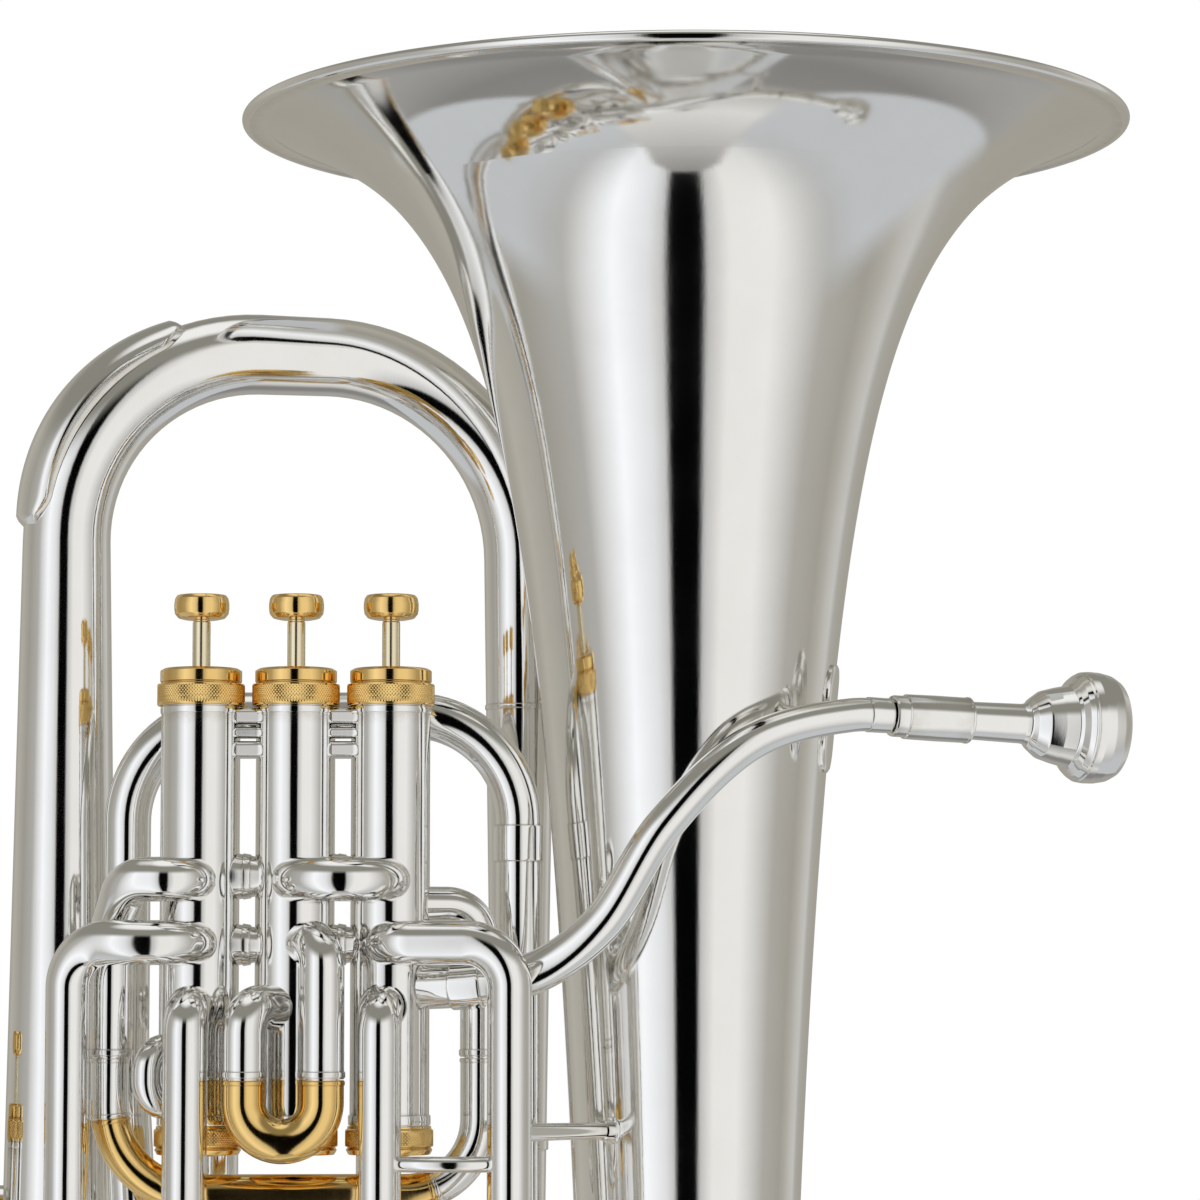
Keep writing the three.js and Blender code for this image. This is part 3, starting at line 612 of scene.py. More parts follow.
def guard_plate(name, centre, bend, start, end, radius, node, lift, tilt=None):
    """Thick plate with turned-down edges over the outside of a bend."""
    along, across = 60, 28
    rings = []
    for i in range(along + 1):
        t = i / along
        angle = lerp(start, end, t)
        outwards = vec(math.cos(angle), 0, math.sin(angle))
        at = outwards * bend + centre
        # The plate's ends are drawn out to a point, like a leaf.
        near = min(t, 1 - t)
        taper = 0.62 + 0.38 * math.sin(math.pi * near / 0.24) if near < 0.12 else 1.0
        end_fall = min(1.0, near * along / 1.5)
        outer, inner = [], []
        for k in range(across + 1):
            u = 2 * k / across - 1
            a = GUARD_SPREAD / 2 * taper * u
            rise = lift(t) * (1 - abs(u) ** 14) ** 0.5 if abs(u) < 1 else 0.0
            r_out = radius(t) + 0.12 + rise * end_fall
            direction = outwards * math.cos(a) + vec(0, math.sin(a), 0)
            outer.append(at + direction * r_out)
            inner.append(at + direction * (radius(t) - 0.15))
        rings.append(np.array(outer + inner[::-1]))
    shell = Shell().loft(rings)
    # Painted shade and tarnish gather along the two long edges of the plate, where it meets
    # the tube.
    from_edge = 1 - np.abs(np.linspace(-1, 1, across + 1))
    shell.shade_and_tarnish[0] = np.tile(0.8 * np.exp(-from_edge / 0.05), 2 * len(rings))
    if tilt:
        c, s = math.cos(tilt), math.sin(tilt)
        shell.points[0] = shell.points[0] @ np.array([[c, -s, 0], [s, c, 0], [0, 0, 1]]).T
        shell.points[0] += vec(OUTER_X, 0, 0)
    piece(name, shell, SILVER, "body", node)


def conical(name, path, start, end, raised, node, dense=()):
    """A widening tube of the main loop, as a piece; gives its radius function back."""
    radius = tapering(path, start, end)
    pipe(name, path, radius, lambda s: radius(s) - BRANCH_WALL, raised, node, WIDE_SIDES,
         dense=dense)
    return radius


def build_loop():
    bow = route(
        (BELL_X, 0, BOW_Z), (BELL_X, 0, BOW_Z - BELL_X, BELL_X),
        (OUTER_X, 0, BOW_Z - BELL_X, BELL_X), (OUTER_X, 0, BOW_Z))
    radius = conical("bottom_bow_tube", bow, BOW_R_BELL, BOW_R_OUTER,
                     [(-9.0, -0.4, 1.0)], "bottom_bow")
    guard_plate(
        "bottom_bow_guard_plate", vec(0, 0, BOW_Z), BELL_X, -math.pi * 0.8, -math.pi * 0.2,
        lambda t: radius(bow.length * lerp(0.8, 0.2, t)), "bottom_bow_guard",
        steady(1.95))

    up = route((OUTER_X, 0, BOW_Z), (OUTER_X, 0, TOP_BOW_Z - TOP_LEFT_BEND))
    conical("outer_branch_tube", up, BOW_R_OUTER, TOP_R_OUTER, [(0.4, 16.0, 1.2)],
            "outer_branch", np.linspace(18, up.length - 26, 12))

    top = route(
        (OUTER_X, 0, TOP_BOW_Z - TOP_LEFT_BEND), (OUTER_X, 0, TOP_BOW_Z, TOP_LEFT_BEND),
        (INNER_X, INNER_Y, TOP_BOW_Z, TOP_RIGHT_BEND),
        (INNER_X, INNER_Y, TOP_BOW_Z - TOP_RIGHT_BEND))
    conical("top_bow_tube", top, TOP_R_OUTER, TOP_R_INNER, [], "top_bow")
    guard_plate(
        "top_bow_guard_plate", vec(TOP_LEFT_BEND, 0, TOP_BOW_Z - TOP_LEFT_BEND),
        TOP_LEFT_BEND, math.pi * 0.615, math.pi * 0.98,
        lambda t: lerp(14.0, TOP_R_OUTER, t), "top_bow_guard",
        lambda t: 2.4 + 2.4 * math.sin(math.pi * t),
        tilt=math.atan2(INNER_Y, INNER_X - OUTER_X))

    down = route((INNER_X, INNER_Y, TOP_BOW_Z - TOP_RIGHT_BEND), (INNER_X, INNER_Y, 250))
    conical("inner_branch_tube", down, TOP_R_INNER, INNER_FOOT_R,
            [(50.4, 52.0, 0.35), (-10.0, -0.3, 0.9), (-60.0, -52.0, 0.7)], "inner_branch",
            np.linspace(5, down.length - 5, 12))


# ---------------- valves


def top_cap():
    """A finely knurled band under a narrower smooth crown."""
    top = 12.3
    band = [(CAP_R, z) for z in np.linspace(1.3, 6.4, 25)]
    profile = rounded([
        (CASING_R + 0.2, 0), (CAP_R - 0.2, 0, 0.3), (CAP_R, 0.6, 0.2), (CAP_R, 1.2), *band,
        (CAP_R, 6.5), (CAP_R - 0.1, 7.1, 0.3), (CAP_CROWN_R - 0.4, 7.25, 0.15),
        (CAP_CROWN_R - 0.4, 7.6, 0.15), (CAP_CROWN_R, 7.9, 0.3),
        (CAP_CROWN_R, top - 0.8, 0.5), (CAP_CROWN_R - 1.4, top, 0.8),
        (STEM_R + 4.4, top - 0.15, 0.4), (STEM_R + 3.6, top - 0.7, 0.3),
        (STEM_R + 1.1, top - 0.7, 0.3), (STEM_R + 1.1, top - 3.2),
        (CASING_BORE, top - 3.2), (CASING_BORE, 6.6), (CASING_R + 0.2, 6.6)])
    # Painted shade and tarnish in the groove under the crown and at the foot by the casing.
    shade_and_tarnish = [0.9 if 7.05 < z < 7.8 else 0.6 if z < 0.5 else 0.1 for _, z in profile]
    return Shell().turned(profile, KNURL_SIDES, shade_and_tarnish, (1.2, 6.45))


def bottom_cap():
    band = [(CAP_R, z) for z in np.linspace(-6.2, -1.6, 25)]
    profile = rounded([
        (CASING_R + 0.2, 0), (CASING_R + 0.2, -7.6), (3.2, -7.6), (2.6, -8.6, 0.4),
        (2.6, -9.4, 0.3), (6.5, -9.7, 0.4), (7.2, -9.0, 0.4), (CAP_R - 3.0, -8.9, 0.6),
        (CAP_R - 1.2, -9.4, 0.8), (CAP_R - 0.2, -7.6, 0.6), (CAP_R - 0.9, -6.8, 0.3),
        (CAP_R - 0.1, -6.5, 0.1), *band, (CAP_R - 0.1, -1.2, 0.2),
        (CAP_R - 0.7, -0.8, 0.25), (CAP_R - 0.7, 0, 0.2)])[::-1]
    # Painted shade and tarnish in the groove below the knurled band.
    shade_and_tarnish = [0.8 if -7.1 < z < -6.5 else 0.15 for _, z in profile]
    return Shell().turned(profile, KNURL_SIDES, shade_and_tarnish, (-6.3, -1.5))


def build_valve(number, x, y, drop):
    seat = VALVE_SEAT - drop
    body = f"valve_{number}"
    place = (x, y, seat)
    passages = (354 - VALVE_SEAT, 386 - VALVE_SEAT)

    # Casing: a turned tube with beads under the top cap and above the bottom cap.
    top = CASING_LENGTH
    outer = [
        (CASING_R - 0.25, -6.2), (CASING_R, -5.8), (CASING_R, 0.3), (CASING_R + 0.4, 0.3),
        (CASING_R + 0.5, 0.6), (CASING_R + 0.5, 3.2), (CASING_R + 0.35, 3.5),
        (CASING_R, 3.6), (CASING_R, 5.0)]
    outer += [(CASING_R, z) for z in np.linspace(12, top - 8, 20)]
    outer += [
        (CASING_R, top - 2.6), (CASING_R + 0.2, top - 2.5), (CASING_R + 0.3, top - 2.2),
        (CASING_R + 0.3, top - 0.7), (CASING_R + 0.2, top - 0.4), (CASING_R, top - 0.3),
        (CASING_R, top + 6.0), (CASING_R - 0.2, top + 6.2)]
    profile = [(CASING_BORE, -6.2)] + outer + [(CASING_BORE, top + 6.2)]
    steps = (0.3, 3.6, top - 2.55, top - 0.35)
    # Painted shade and tarnish at the steps of the beads.
    shade_and_tarnish = [0.9 if min(abs(z - s) for s in steps) < 0.2 else 0.05 for _, z in profile]
    piece(f"casing_{number}", Shell().turned(profile, 96, shade_and_tarnish).move(place), SILVER,
          "body", f"valve_casing_{number}")
    piece(f"cap_top_{number}", top_cap().move((x, y, seat + CASING_LENGTH)), GOLD, "body",
          f"top_cap_{number}")
    piece(f"cap_bottom_{number}", bottom_cap().move(place), GOLD, "body",
          f"bottom_cap_{number}")

    # Piston: the drum with its two passages, and the stem in its own gold finish.
    low, high = 345 - VALVE_SEAT, 440 - VALVE_SEAT
    drum = rounded([
        (3.0, low), (11.5, low, 0.4), (11.5, high, 0.4), (2.6, high), (2.6, high - 2),
        (10.6, high - 2), (10.6, low + 1.5), (3.0, low + 1.5)])
    piston = piece(f"piston_drum_{number}", Shell().turned(drum, 64).move(place), NICKEL,
                   body, f"piston_{number}")
    bore_passages(piston, place, passages)
    tip = BUTTON_SEAT - 0.1
    stem = rounded([
        (0, high + 0.1), (9.0, high + 0.1), (9.0, high + 1.3, 0.4), (6.5, high + 1.9, 0.5),
        (STEM_R, high + 3.0, 0.8), (STEM_R, tip - 0.8, 0.3), (STEM_R - 0.25, tip - 0.5, 0.2),
        (STEM_R - 0.25, tip), (0, tip)])
    # Painted shade and tarnish at the stem's narrowed top, where it meets the button.
    shade_and_tarnish = [0.6 if z > tip - 0.6 else 0.1 for _, z in stem]
    piece(f"piston_stem_{number}", Shell().turned(stem, 48, shade_and_tarnish).move(place), PALE, body)

    button = rounded([
        (0, 0), (5.4, 0, 0.4), (7.6, 0.5, 1.2), (8.75, 1.9, 1.0), (9.0, 3.6, 1.0),
        (9.0, 5.2, 1.0), (8.7, 7.0, 1.2), (7.9, 8.15, 0.9), (6.9, 8.1, 0.5),
        (6.2, 7.4, 0.5), (0, 6.9)], 6)
    button = Shell().turned(button, 96, [0.02] * len(button))
    piece(f"button_{number}", button.move((x, y, seat + BUTTON_SEAT)), GOLD, body,
          f"finger_button_{number}")

    # Spring: a fine coil under the piston, fixed on the body.
    turns, wire, radius = 11, 0.55, 9.0
    bottom, crown = -7.3 + wire, low - 0.3 - wire
    angles = np.linspace(0, 2 * math.pi * turns, turns * 30 + 1)
    rise = (crown - bottom) / angles[-1]
    at = np.stack([radius * np.cos(angles), radius * np.sin(angles),
                   bottom + rise * angles], 1)
    along = np.stack([-radius * np.sin(angles), radius * np.cos(angles),
                      np.full(len(angles), rise)], 1)
    coil = Path(at, along)
    rows = [(s, wire) for s in coil.s]
    spring = piece(f"spring_{number}", Shell().sweep(coil, rows, None, 10).move(place),
                   STEEL, "body", f"valve_spring_{number}")
    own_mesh(spring)


def bore_passages(piston, place, heights):
    """Cuts the two passages through the drum, one across X and one across Y."""
    cutters = []
    for axis, height in enumerate(heights):
        ends = [list(place), list(place)]
        for end, sign in zip(ends, (-1, 1)):
            end[axis] += sign * 13
            end[2] += height
        line = route(*ends)
        shell = Shell().sweep(line, [(0, 5.0), (line.length, 5.0)])
        mesh = bpy.data.meshes.new("passage")
        mesh.from_pydata((np.concatenate(shell.points) * MM).tolist(), [], shell.faces)
        cutter = linked("passage", mesh)
        cutters.append(cutter)
        cut = piston.modifiers.new("passage", "BOOLEAN")
        cut.operation, cut.solver, cut.object = "DIFFERENCE", "EXACT", cutter
    bpy.context.view_layer.update()
    solid = piston.evaluated_get(bpy.context.evaluated_depsgraph_get())
    mesh = bpy.data.meshes.new_from_object(solid)
    piston.modifiers.clear()
    piston.data = mesh
    for cutter in cutters:
        bpy.data.objects.remove(cutter)


def between_casings(name, left, right):
    """What joins two neighbouring casings: two air passages and a block under the caps."""
    levels = (("", 6.2, CROSSOVER, 0.55), ("_upper", 7.0, UPPER_CROSSOVER, 0.35))
    for level, radius, height, collar in levels:
        line = route((left[0] + 11, left[1], height), (right[0] - 11, right[1], height))
        middle = line.length / 2
        rows, edges = bands(line, lambda s: radius + 0.17 * (middle - s),
                            (middle - 1.3, middle + 1.3, collar))
        shell = Shell().sweep(line, rows, steady(5.0), SIDES, edges, (left, right))
        nodes = [] if level else [name]
        piece(name + level + "_tube", shell, SILVER, "body", *nodes)
    block = Shell()
    depth, side = 5.4, 26
    across, upwards = oval(side, 0.6)
    x0, x1 = left[0] + CASING_R * 0.93, right[0] - CASING_R * 0.93
    for z0, z1, reach in ((430.9, 436.6, 0.0), (437.4, 441.2, 0.7), (441.9, 447.4, 0.0)):
        rings = []
        middle, half = (z0 + z1) / 2, (z1 - z0) / 2
        for t in np.linspace(0, 1, 13):
            swell = 1.0 - 0.2 * t
            rings.append(np.stack([
                np.full(side, lerp(x0, x1, t)), left[1] + (depth - reach) * swell * across,
                middle + half * upwards], 1))
        block.loft(rings)
    piece(name + "_block", block, SILVER, "body")


def build_valves():
    for number, place in enumerate((V1, V2, V3), 1):
        build_valve(number, *place, 0)
    build_valve(4, *V4, FOURTH_DROP)
    between_casings("crossover_1_2", V2, V1)
    between_casings("crossover_2_3", V3, V2)


# ---------------- slides


def slide(name, left, right, tops, shoulder, crown, bends, bow=TUBE_R, knob=False,
          sleeves=(0.0, 0.0)):
    """The moving U: two thin legs and the bow, each its own piece on one body, which
    has the slide's name as its CAD node has.  A leg is (x, y, outside radius, bore) and
    bends are the bow's two bend radii.  sleeves are how far a silver cover reaches along
    the bow from its left and right ends."""
    legs = Shell()
    for x, y, r, hole in (left, right):
        line = route((x, y, shoulder - 3.5), (x, y, tops))
        rows = [(0, r), (line.length - 0.4, r), (line.length, r - 0.15)]
        legs.sweep(line, rows, steady(hole), SIDES, (3.5,))
    whole = route(
        (left[0], left[1], shoulder), (left[0], left[1], crown, bends[0]),
        (right[0], right[1], crown, bends[1]), (right[0], right[1], shoulder))
    gold_from, gold_to = sleeves[0], whole.length - sleeves[1]
    for start, end in ((0, gold_from), (gold_to, whole.length)):
        if end > start:
            cover = whole.cut(start, end)
            rows, edges = bands(cover, steady(bow), (0.2, 1.4, 0.3), (-1.4, -0.2, 0.3))
            legs.sweep(cover, rows, steady(bow - 0.4), SIDES, edges)
    piece(f"{name}_legs", legs, SILVER, name)
    path = whole.cut(gold_from, gold_to)
    rows, edges = bands(path, steady(bow), (0.3, 1.6, 0.3), (-1.6, -0.3, 0.3))
    bore = tapering(path, left[3] + 0.6, right[3] + 0.6)
    shell = Shell().sweep(path, rows, bore, SIDES, edges)
    # A small ball foot under the crown, where the slide is gripped.
    if knob:
        middle = path.place(path.length / 2)[0]
        foot = rounded([(0, 1.5), (2.0, 1.2), (1.6, -1.2, 0.6), (2.9, -2.6, 0.9),
                        (3.1, -4.4, 1.2), (1.8, -5.8, 0.8), (0, -6.1)])
        shell.merge(Shell().turned(foot[::-1], 36).move(middle - vec(0, 0, bow - 0.6)))
    piece(f"{name}_bow", shell, GOLD, name, name)


def receiving(name, path, casing, node, radius=TUBE_R, bore=TUBE_BORE, extra=()):
    """Fixed tube that a slide's leg runs in: it starts at a valve's casing and has a
    ferrule at its mouth."""
    pipe(name, path, radius, bore, [(-2.4, -0.4, 0.4), *extra], node,
         ends_on=(casing, None))


def build_front_slides():
    y = SLIDE_Y

    receiving("first_inner_receiver", route(
        (V1[0] - 1, V1[1], KNUCKLE), (4.6, y, KNUCKLE, 9), (4.6, y, 262)), V1,
        "first_slide_inner_tube", extra=[(9.5, 12.5, 0.6)])
    receiving("first_outer_receiver", route(
        (*V1, LOWER_PORT), (V1[0], -62, LOWER_PORT, 9),
        (*FIRST_RIGHT, LOWER_PORT, 14.5), (*FIRST_RIGHT, 262)), V1, "first_slide_outer_tube")
    slide("first_slide", (4.6, y, LEG_R, LEG_BORE),
          (*FIRST_RIGHT, LEG_R, LEG_BORE), 330, 261.7, 215, (20.9, 20.9), knob=True)

    receiving("second_left_receiver", route(
        (*V2, KNUCKLE), (-38.7, y, KNUCKLE, 9), (-38.7, y, 327)), V2,
        "second_slide_left_tube")
    receiving("second_right_receiver", route(
        (*V2, LOWER_PORT), (-13.7, y, LOWER_PORT, 9), (-13.7, y, 327)), V2,
        "second_slide_right_tube")
    slide("second_slide", (-38.7, y, LEG_R, LEG_BORE),
          (-13.7, y, LEG_R, LEG_BORE), 340, 326.7, 307.2, (12.5, 12.5))

    receiving("third_inner_receiver", route(
        (*V3, KNUCKLE), (-57.4, y, KNUCKLE, 9), (-57.4, y, 205)), V3,
        "third_slide_inner_tube")
    receiving("third_outer_receiver", route(
        (*V3, LOWER_PORT), (V3[0] - 0.5, y, LOWER_PORT, 15.8), (-77, y, LOWER_PORT, 20),
        (*THIRD_LEFT, LOWER_PORT, 14.5), (*THIRD_LEFT, 205)), V3, "third_slide_outer_tube")
    slide("third_slide", (*THIRD_LEFT, LEG_R, LEG_BORE),
          (-57.4, y, LEG_R, LEG_BORE), 275, 204.7, 151.7, (18.3, 18.3), knob=True)

    pipe("third_compensating_tube", route(
        (*V3, 336.5), (-70.5, -56, 336.5, 7.5), (-70.5, -56, 319, 7.5),
        (*V3, 319)), 5.0, 4.3, [], "third_compensating_loop",
        ends_on=(V3, V3))
    pipe("link_tube_1_2", route(
        (*V2, UPPER_PORT), (V2[0] + 0.2, y, UPPER_PORT, 15.2),
        (V1[0], y, UPPER_PORT, 15.2), (*V1, UPPER_PORT)), TUBE_R, TUBE_BORE, [],
        "front_link_1_2", ends_on=(V2, V1))


def build_return():
    end = 334
    receiving("return_left_receiver", route(
        (*V3, UPPER_PORT), (-57, -65, UPPER_PORT, 9), (-77, -60, UPPER_PORT, 10),
        (*RETURN_LEFT, 374, 12), (*RETURN_LEFT, end)), V3, "return_left_tube")
    receiving("return_right_receiver", route(
        (*V1, RETURN_PORT), (*RETURN_RIGHT, RETURN_PORT, 11),
        (*RETURN_RIGHT, end)), V1, "return_right_tube", radius=6.3, bore=5.6)
    slide("return_slide", (*RETURN_LEFT, LEG_R, LEG_BORE),
          (*RETURN_RIGHT, 4.9, 4.1), 362, end - 0.3, 290, (28, 24), bow=6.2,
          sleeves=(19.5, 48))


def build_main_slide():
    end = 250
    rear = route(
        (-75, REAR_Y, 230), (REAR_LEFT_X, REAR_Y, 330, 60), (REAR_LEFT_X, REAR_Y, 446.5, 35.4),
        (REAR_RIGHT_X, REAR_Y, 446.5, 35.4), (REAR_RIGHT_X, REAR_Y, end))
    pipe("rear_bow_tube", rear, REAR_R, REAR_R - 0.8,
         [(0.3, 9.0, 0.8), (-11.0, -0.4, 0.9), (-160.0, -148.0, 0.9)], "rear_bow")
    slide("main_slide", (REAR_RIGHT_X, REAR_Y, 6.0, 5.2),
          (INNER_X, INNER_Y, 6.9, 6.1), 305, end - 0.3, 216, (24, 24), bow=7.8)
    pipe("fourth_outlet_pipe", route(
        (*V4, OUTLET), (V4[0], BACK_Y, OUTLET, 12),
        (-75, BACK_Y, OUTLET, 12), (-75, REAR_Y, OUTLET, 12), (-75, REAR_Y, 229)),
        TUBE_R, TUBE_BORE, [(40.0, 44.0, 0.6)], "fourth_outlet_tube",
        ends_on=(V4, None))


def build_fourth():
    pipe("third_to_fourth_pipe", route(
        (*V3, KNUCKLE), (V3[0], BACK_Y, KNUCKLE, 12), (V3[0], BACK_Y, LINK, 12),
        (V4[0], BACK_Y, LINK, 12), (*V4, LINK)), TUBE_R, TUBE_BORE,
        [(30.0, 36.0, 0.6)], "third_to_fourth_tube", ends_on=(V3, V4))
    receiving("fourth_short_receiver", route(
        (*V4, SHORT), (V4[0], BACK_Y, SHORT, 12), (-20, BACK_Y, SHORT, 14),
        (-20, BACK_Y, 175)), V4, "fourth_slide_short_tube")
    receiving("fourth_long_receiver", route(
        (*V4, LONG), (V4[0], BACK_Y, LONG, 12), (12, BACK_Y, LONG, 14),
        (12, BACK_Y, 175)), V4, "fourth_slide_long_tube")
    slide("fourth_slide", (-20, BACK_Y, LEG_R, LEG_BORE),
          (12, BACK_Y, LEG_R, LEG_BORE), 214, 174.7, 92, (16, 16), knob=True)


# ---------------- leadpipe and mouthpiece


def build_leadpipe():
    path = smooth_route([
        (V1[0] + 9, V1[1] - 2.2, 356.4), (36, -50.3, 357.5), (55, -53, 361.5),
        (75.3, -58.5, 376.5), (96.2, -62, 408.7), (125.3, -58, 436), (156.6, -47, 444.8),
        RECEIVER_FOOT])
    radius = tapering(path, 7.2, 5.4)
    pipe("leadpipe_tube", path, radius, lambda s: radius(s) - 0.9,
         [(12.0, 22.0, 0.7), (-8.0, -0.2, 0.3)], "leadpipe", 48,
         ends_on=(V1, None))

    receiver = rounded([
        (4.5, 0.6), (6.6, 0.6, 0.3), (6.8, 1.4, 0.3), (6.8, 4.9, 0.3), (7.35, 5.4, 0.2),
        (7.5, 16.0), (7.45, 26.6), (7.65, 26.9, 0.2), (7.65, 27.7, 0.3), (7.2, 28.0, 0.1),
        (6.95, 28.0), (6.65, 5.0), (4.5, 5.0)])
    # Painted shade and tarnish at the steps near both ends and at the foot.
    shade_and_tarnish = [0.7 if 26.4 < z < 27.2 or 4.8 < z < 5.6 or z < 1.5 else 0.1 for _, z in receiver]
    piece("receiver", Shell().turned(receiver, 64, shade_and_tarnish).move(RECEIVER_FOOT, MOUTH_AXIS),
          SILVER, "body", "mouthpiece_receiver")

    mouthpiece = rounded([
        (4.4, 6.0), (5.8, 6.0, 0.4), (6.55, 46.6, 2), (6.9, 48.4, 1.5), (8.6, 49.9, 2),
        (11.2, 53.4, 3), (12.5, 58.0, 6), (13.5, 62.6, 1.0), (14.3, 63.6, 0.8),
        (16.4, 65.0, 1.5), (17.6, 66.5, 0.5), (17.7, 67.2, 0.2), (18.2, 67.6, 0.4),
        (18.5, 70.0, 2), (18.4, 73.4, 3), (17.7, 77.0, 3), (16.0, 80.0, 2), (14.4, 80.3, 1.2),
        (13.2, 79.0, 1.5), (12.2, 74.0, 4), (11.0, 67.0, 5), (8.0, 60.0, 5), (4.4, 54.0, 3),
        (3.4, 51.0, 1)], 6)
    # Painted shade and tarnish at the small step on the rim's outside.
    shade_and_tarnish = [0.5 if 66.8 < z < 67.8 and r > 15 else 0.05 for r, z in mouthpiece]
    piece("mouthpiece_cup", Shell().turned(mouthpiece, 96, shade_and_tarnish).move(
        RECEIVER_FOOT, MOUTH_AXIS), SILVER, "mouthpiece", "mouthpiece")


# ---------------- braces


PLATE_POWER = 2.6                # 2 would make a bell plate oval, more makes it squarer


def bell_plate(centre, size, thickness, lobes):
    """Shaped flange lying on the bell: rounded ends, domed edge."""
    x, y, z = centre
    angle = math.atan2(y, x - BELL_X)
    wide, high = size
    count = 56
    outline = []
    for k in range(count):
        a = 2 * math.pi * k / count
        c, s = math.cos(a), math.sin(a)
        reach = (abs(c) ** PLATE_POWER + abs(s) ** PLATE_POWER) ** (-1 / PLATE_POWER)
        pinch = 1 - lobes * c ** 2 * (1 - abs(s))
        outline.append((wide / 2 * reach * c * pinch, high / 2 * reach * s))

    def lay(scale, offset):
        out = []
        for u, v in outline:
            height = z + v * scale
            r = bell_skin(height, offset)
            a = angle + u * scale / r
            out.append((BELL_X + r * math.cos(a), r * math.sin(a), height))
        return np.array(out)

    rings = [lay(0.5, -0.1), lay(1.0, -0.1), lay(1.0, thickness * 0.55),
             lay(0.95, thickness * 0.9), lay(0.88, thickness), lay(0.45, thickness)]
    # The plate's rim, where it sits on the bell, is darkened by painted shade and tarnish.
    return Shell().loft(rings, [0, 0.9, 0.7, 0.1, 0, 0])


def build_braces():
    plate = bell_plate((151.9, -11.3, 446), (18, 36), 1.5, 0.25)
    post = route((151.9, -14, 445.9), (153.2, -42.5, 444.9))
    rows = [(0, 5.4), (1.2, 5.0), (2.2, 3.4), (4.0, 2.7), (post.length / 2, 2.3),
            (post.length - 3, 2.7), (post.length - 1, 3.6), (post.length, 4.4)]
    plate.sweep(post, rows, None, 32, (1.5,))
    piece("leadpipe_support", plate, SILVER, "body", "leadpipe_brace")

    plate = bell_plate((79, -29.4, 310), (8, 9), 0.8, 0.1)
    post = route((79.5, -28.9, 310), (50.5, -60.5, 310))
    rows = [(0, 3.5), (5.2, 3.3), (5.7, 2.8), (post.length * 0.5, 2.75),
            (post.length - 0.5, 2.9)]
    plate.sweep(post, rows, None, 32, (5.5,))
    piece("bell_stay", plate, SILVER, "body", "bell_brace")

    rod = smooth_route([
        (11.6, -66.3, 300), (18.8, -69.2, 300), (26.8, -70.4, 300), (33.8, -69.6, 300),
        (39.4, -67.7, 300)], 32)
    rows = [(s, 2.55) for s in rod.s]
    piece("first_slide_stay", Shell().sweep(rod, rows, None, 32, (0, rod.length)), SILVER,
          "body")


# ---------------- water key


def build_water_key():
    x = REAR_RIGHT_X
    side = 14
    across, upwards = oval(side)
    arm = []
    for t in np.linspace(0, 1, 30):
        z = lerp(249.0, 203.9, t)
        width = (2.0 + 1.4 * math.exp(-((t - 0.28) / 0.12) ** 2)
                 + 1.6 * math.exp(-(t / 0.14) ** 2))
        depth = -33.2 - 0.9 * math.exp(-(t / 0.12) ** 2)
        arm.append(np.stack([x + width * across, depth + 0.85 * upwards,
                             np.full(side, z)], 1))
    shell = Shell().loft(arm)
    hub = route((x - 4.5, -33.2, 236), (x + 4.5, -33.2, 236))
    shell.sweep(hub, [(0, 1.4), (0.3, 2.0), (1.0, 2.4), (8.0, 2.4), (8.7, 2.0), (9.0, 1.4)],
                None, 28)
    foot = []
    for t in np.linspace(0, 1, 30):
        y = lerp(-34.0, 7.6, t)
        width = 2.0 + 2.2 * math.exp(-((t - 0.92) / 0.09) ** 2)
        foot.append(np.stack([x + width * across, np.full(side, y),
                              204.4 + 0.8 * upwards], 1))
    shell.loft(foot)
    cup = rounded([(0, 203.6), (3.4, 203.7, 0.4), (3.9, 204.8, 0.4), (3.9, 206.0, 0.2),
                   (0, 206.0)])
    shell.merge(Shell().turned(cup, 40).move((x, 4, 0)))
    piece("water_key_lever", shell, GOLD, "main_water_key", "main_water_key")
    pad = Shell().turned(rounded([(0, 205.9), (3.4, 205.9, 0.2), (3.4, 207.3, 0.4),
                                  (0, 207.5)]), 36).move((x, 4, 0))
    piece("water_key_cork", pad, CORK, "main_water_key")


build_bell()
build_loop()
build_valves()
build_front_slides()
build_return()
build_main_slide()
build_fourth()
build_leadpipe()
build_braces()
build_water_key()


# ---------------- studio

VIEW_FROM = (75.3, -1600.0, 342.0)
VIEW_TILT = 5.17                 # degrees above level


def build_camera():
    data = bpy.data.cameras.new("camera")
    data.sensor_width, data.lens, data.clip_end = 36, 143.3, 60
    camera = linked("camera", data)
    camera.location = vec(*VIEW_FROM) * MM
    camera.rotation_euler = (math.radians(90 + VIEW_TILT), 0, 0)
    bpy.context.scene.camera = camera


def stage_mesh(name, points, faces, material, diffuse=True):
    """Scenery that casts no shadow and isn't mirrored in the metal."""
    mesh = bpy.data.meshes.new(name)
    mesh.from_pydata([tuple(p) for p in points], [], faces)
    mesh.materials.append(material)
    mesh.shade_smooth()
    made = linked(name, mesh)
    made.visible_glossy, made.visible_diffuse = False, diffuse
    made.visible_shadow = False


def build_floor():
    material = bpy.data.materials.new("floor_paper")
    graph = Graph(material)
    grain = graph.noise(graph.coordinates(), 140.0, 4.0)
    graph.surface(
        Base_Color=graph.mix(grain, (0.90, 0.90, 0.895, 1), (0.86, 0.86, 0.855, 1)),
        Roughness=0.8, Emission_Color=(1, 1, 0.99, 1), Emission_Strength=0.3)
    count, radius = 96, 6.0
    across, along = oval(count)
    ring = zip(radius * across, radius * along, [-0.0005] * count)
    stage_mesh("studio_floor", ring, [list(range(count))], material)


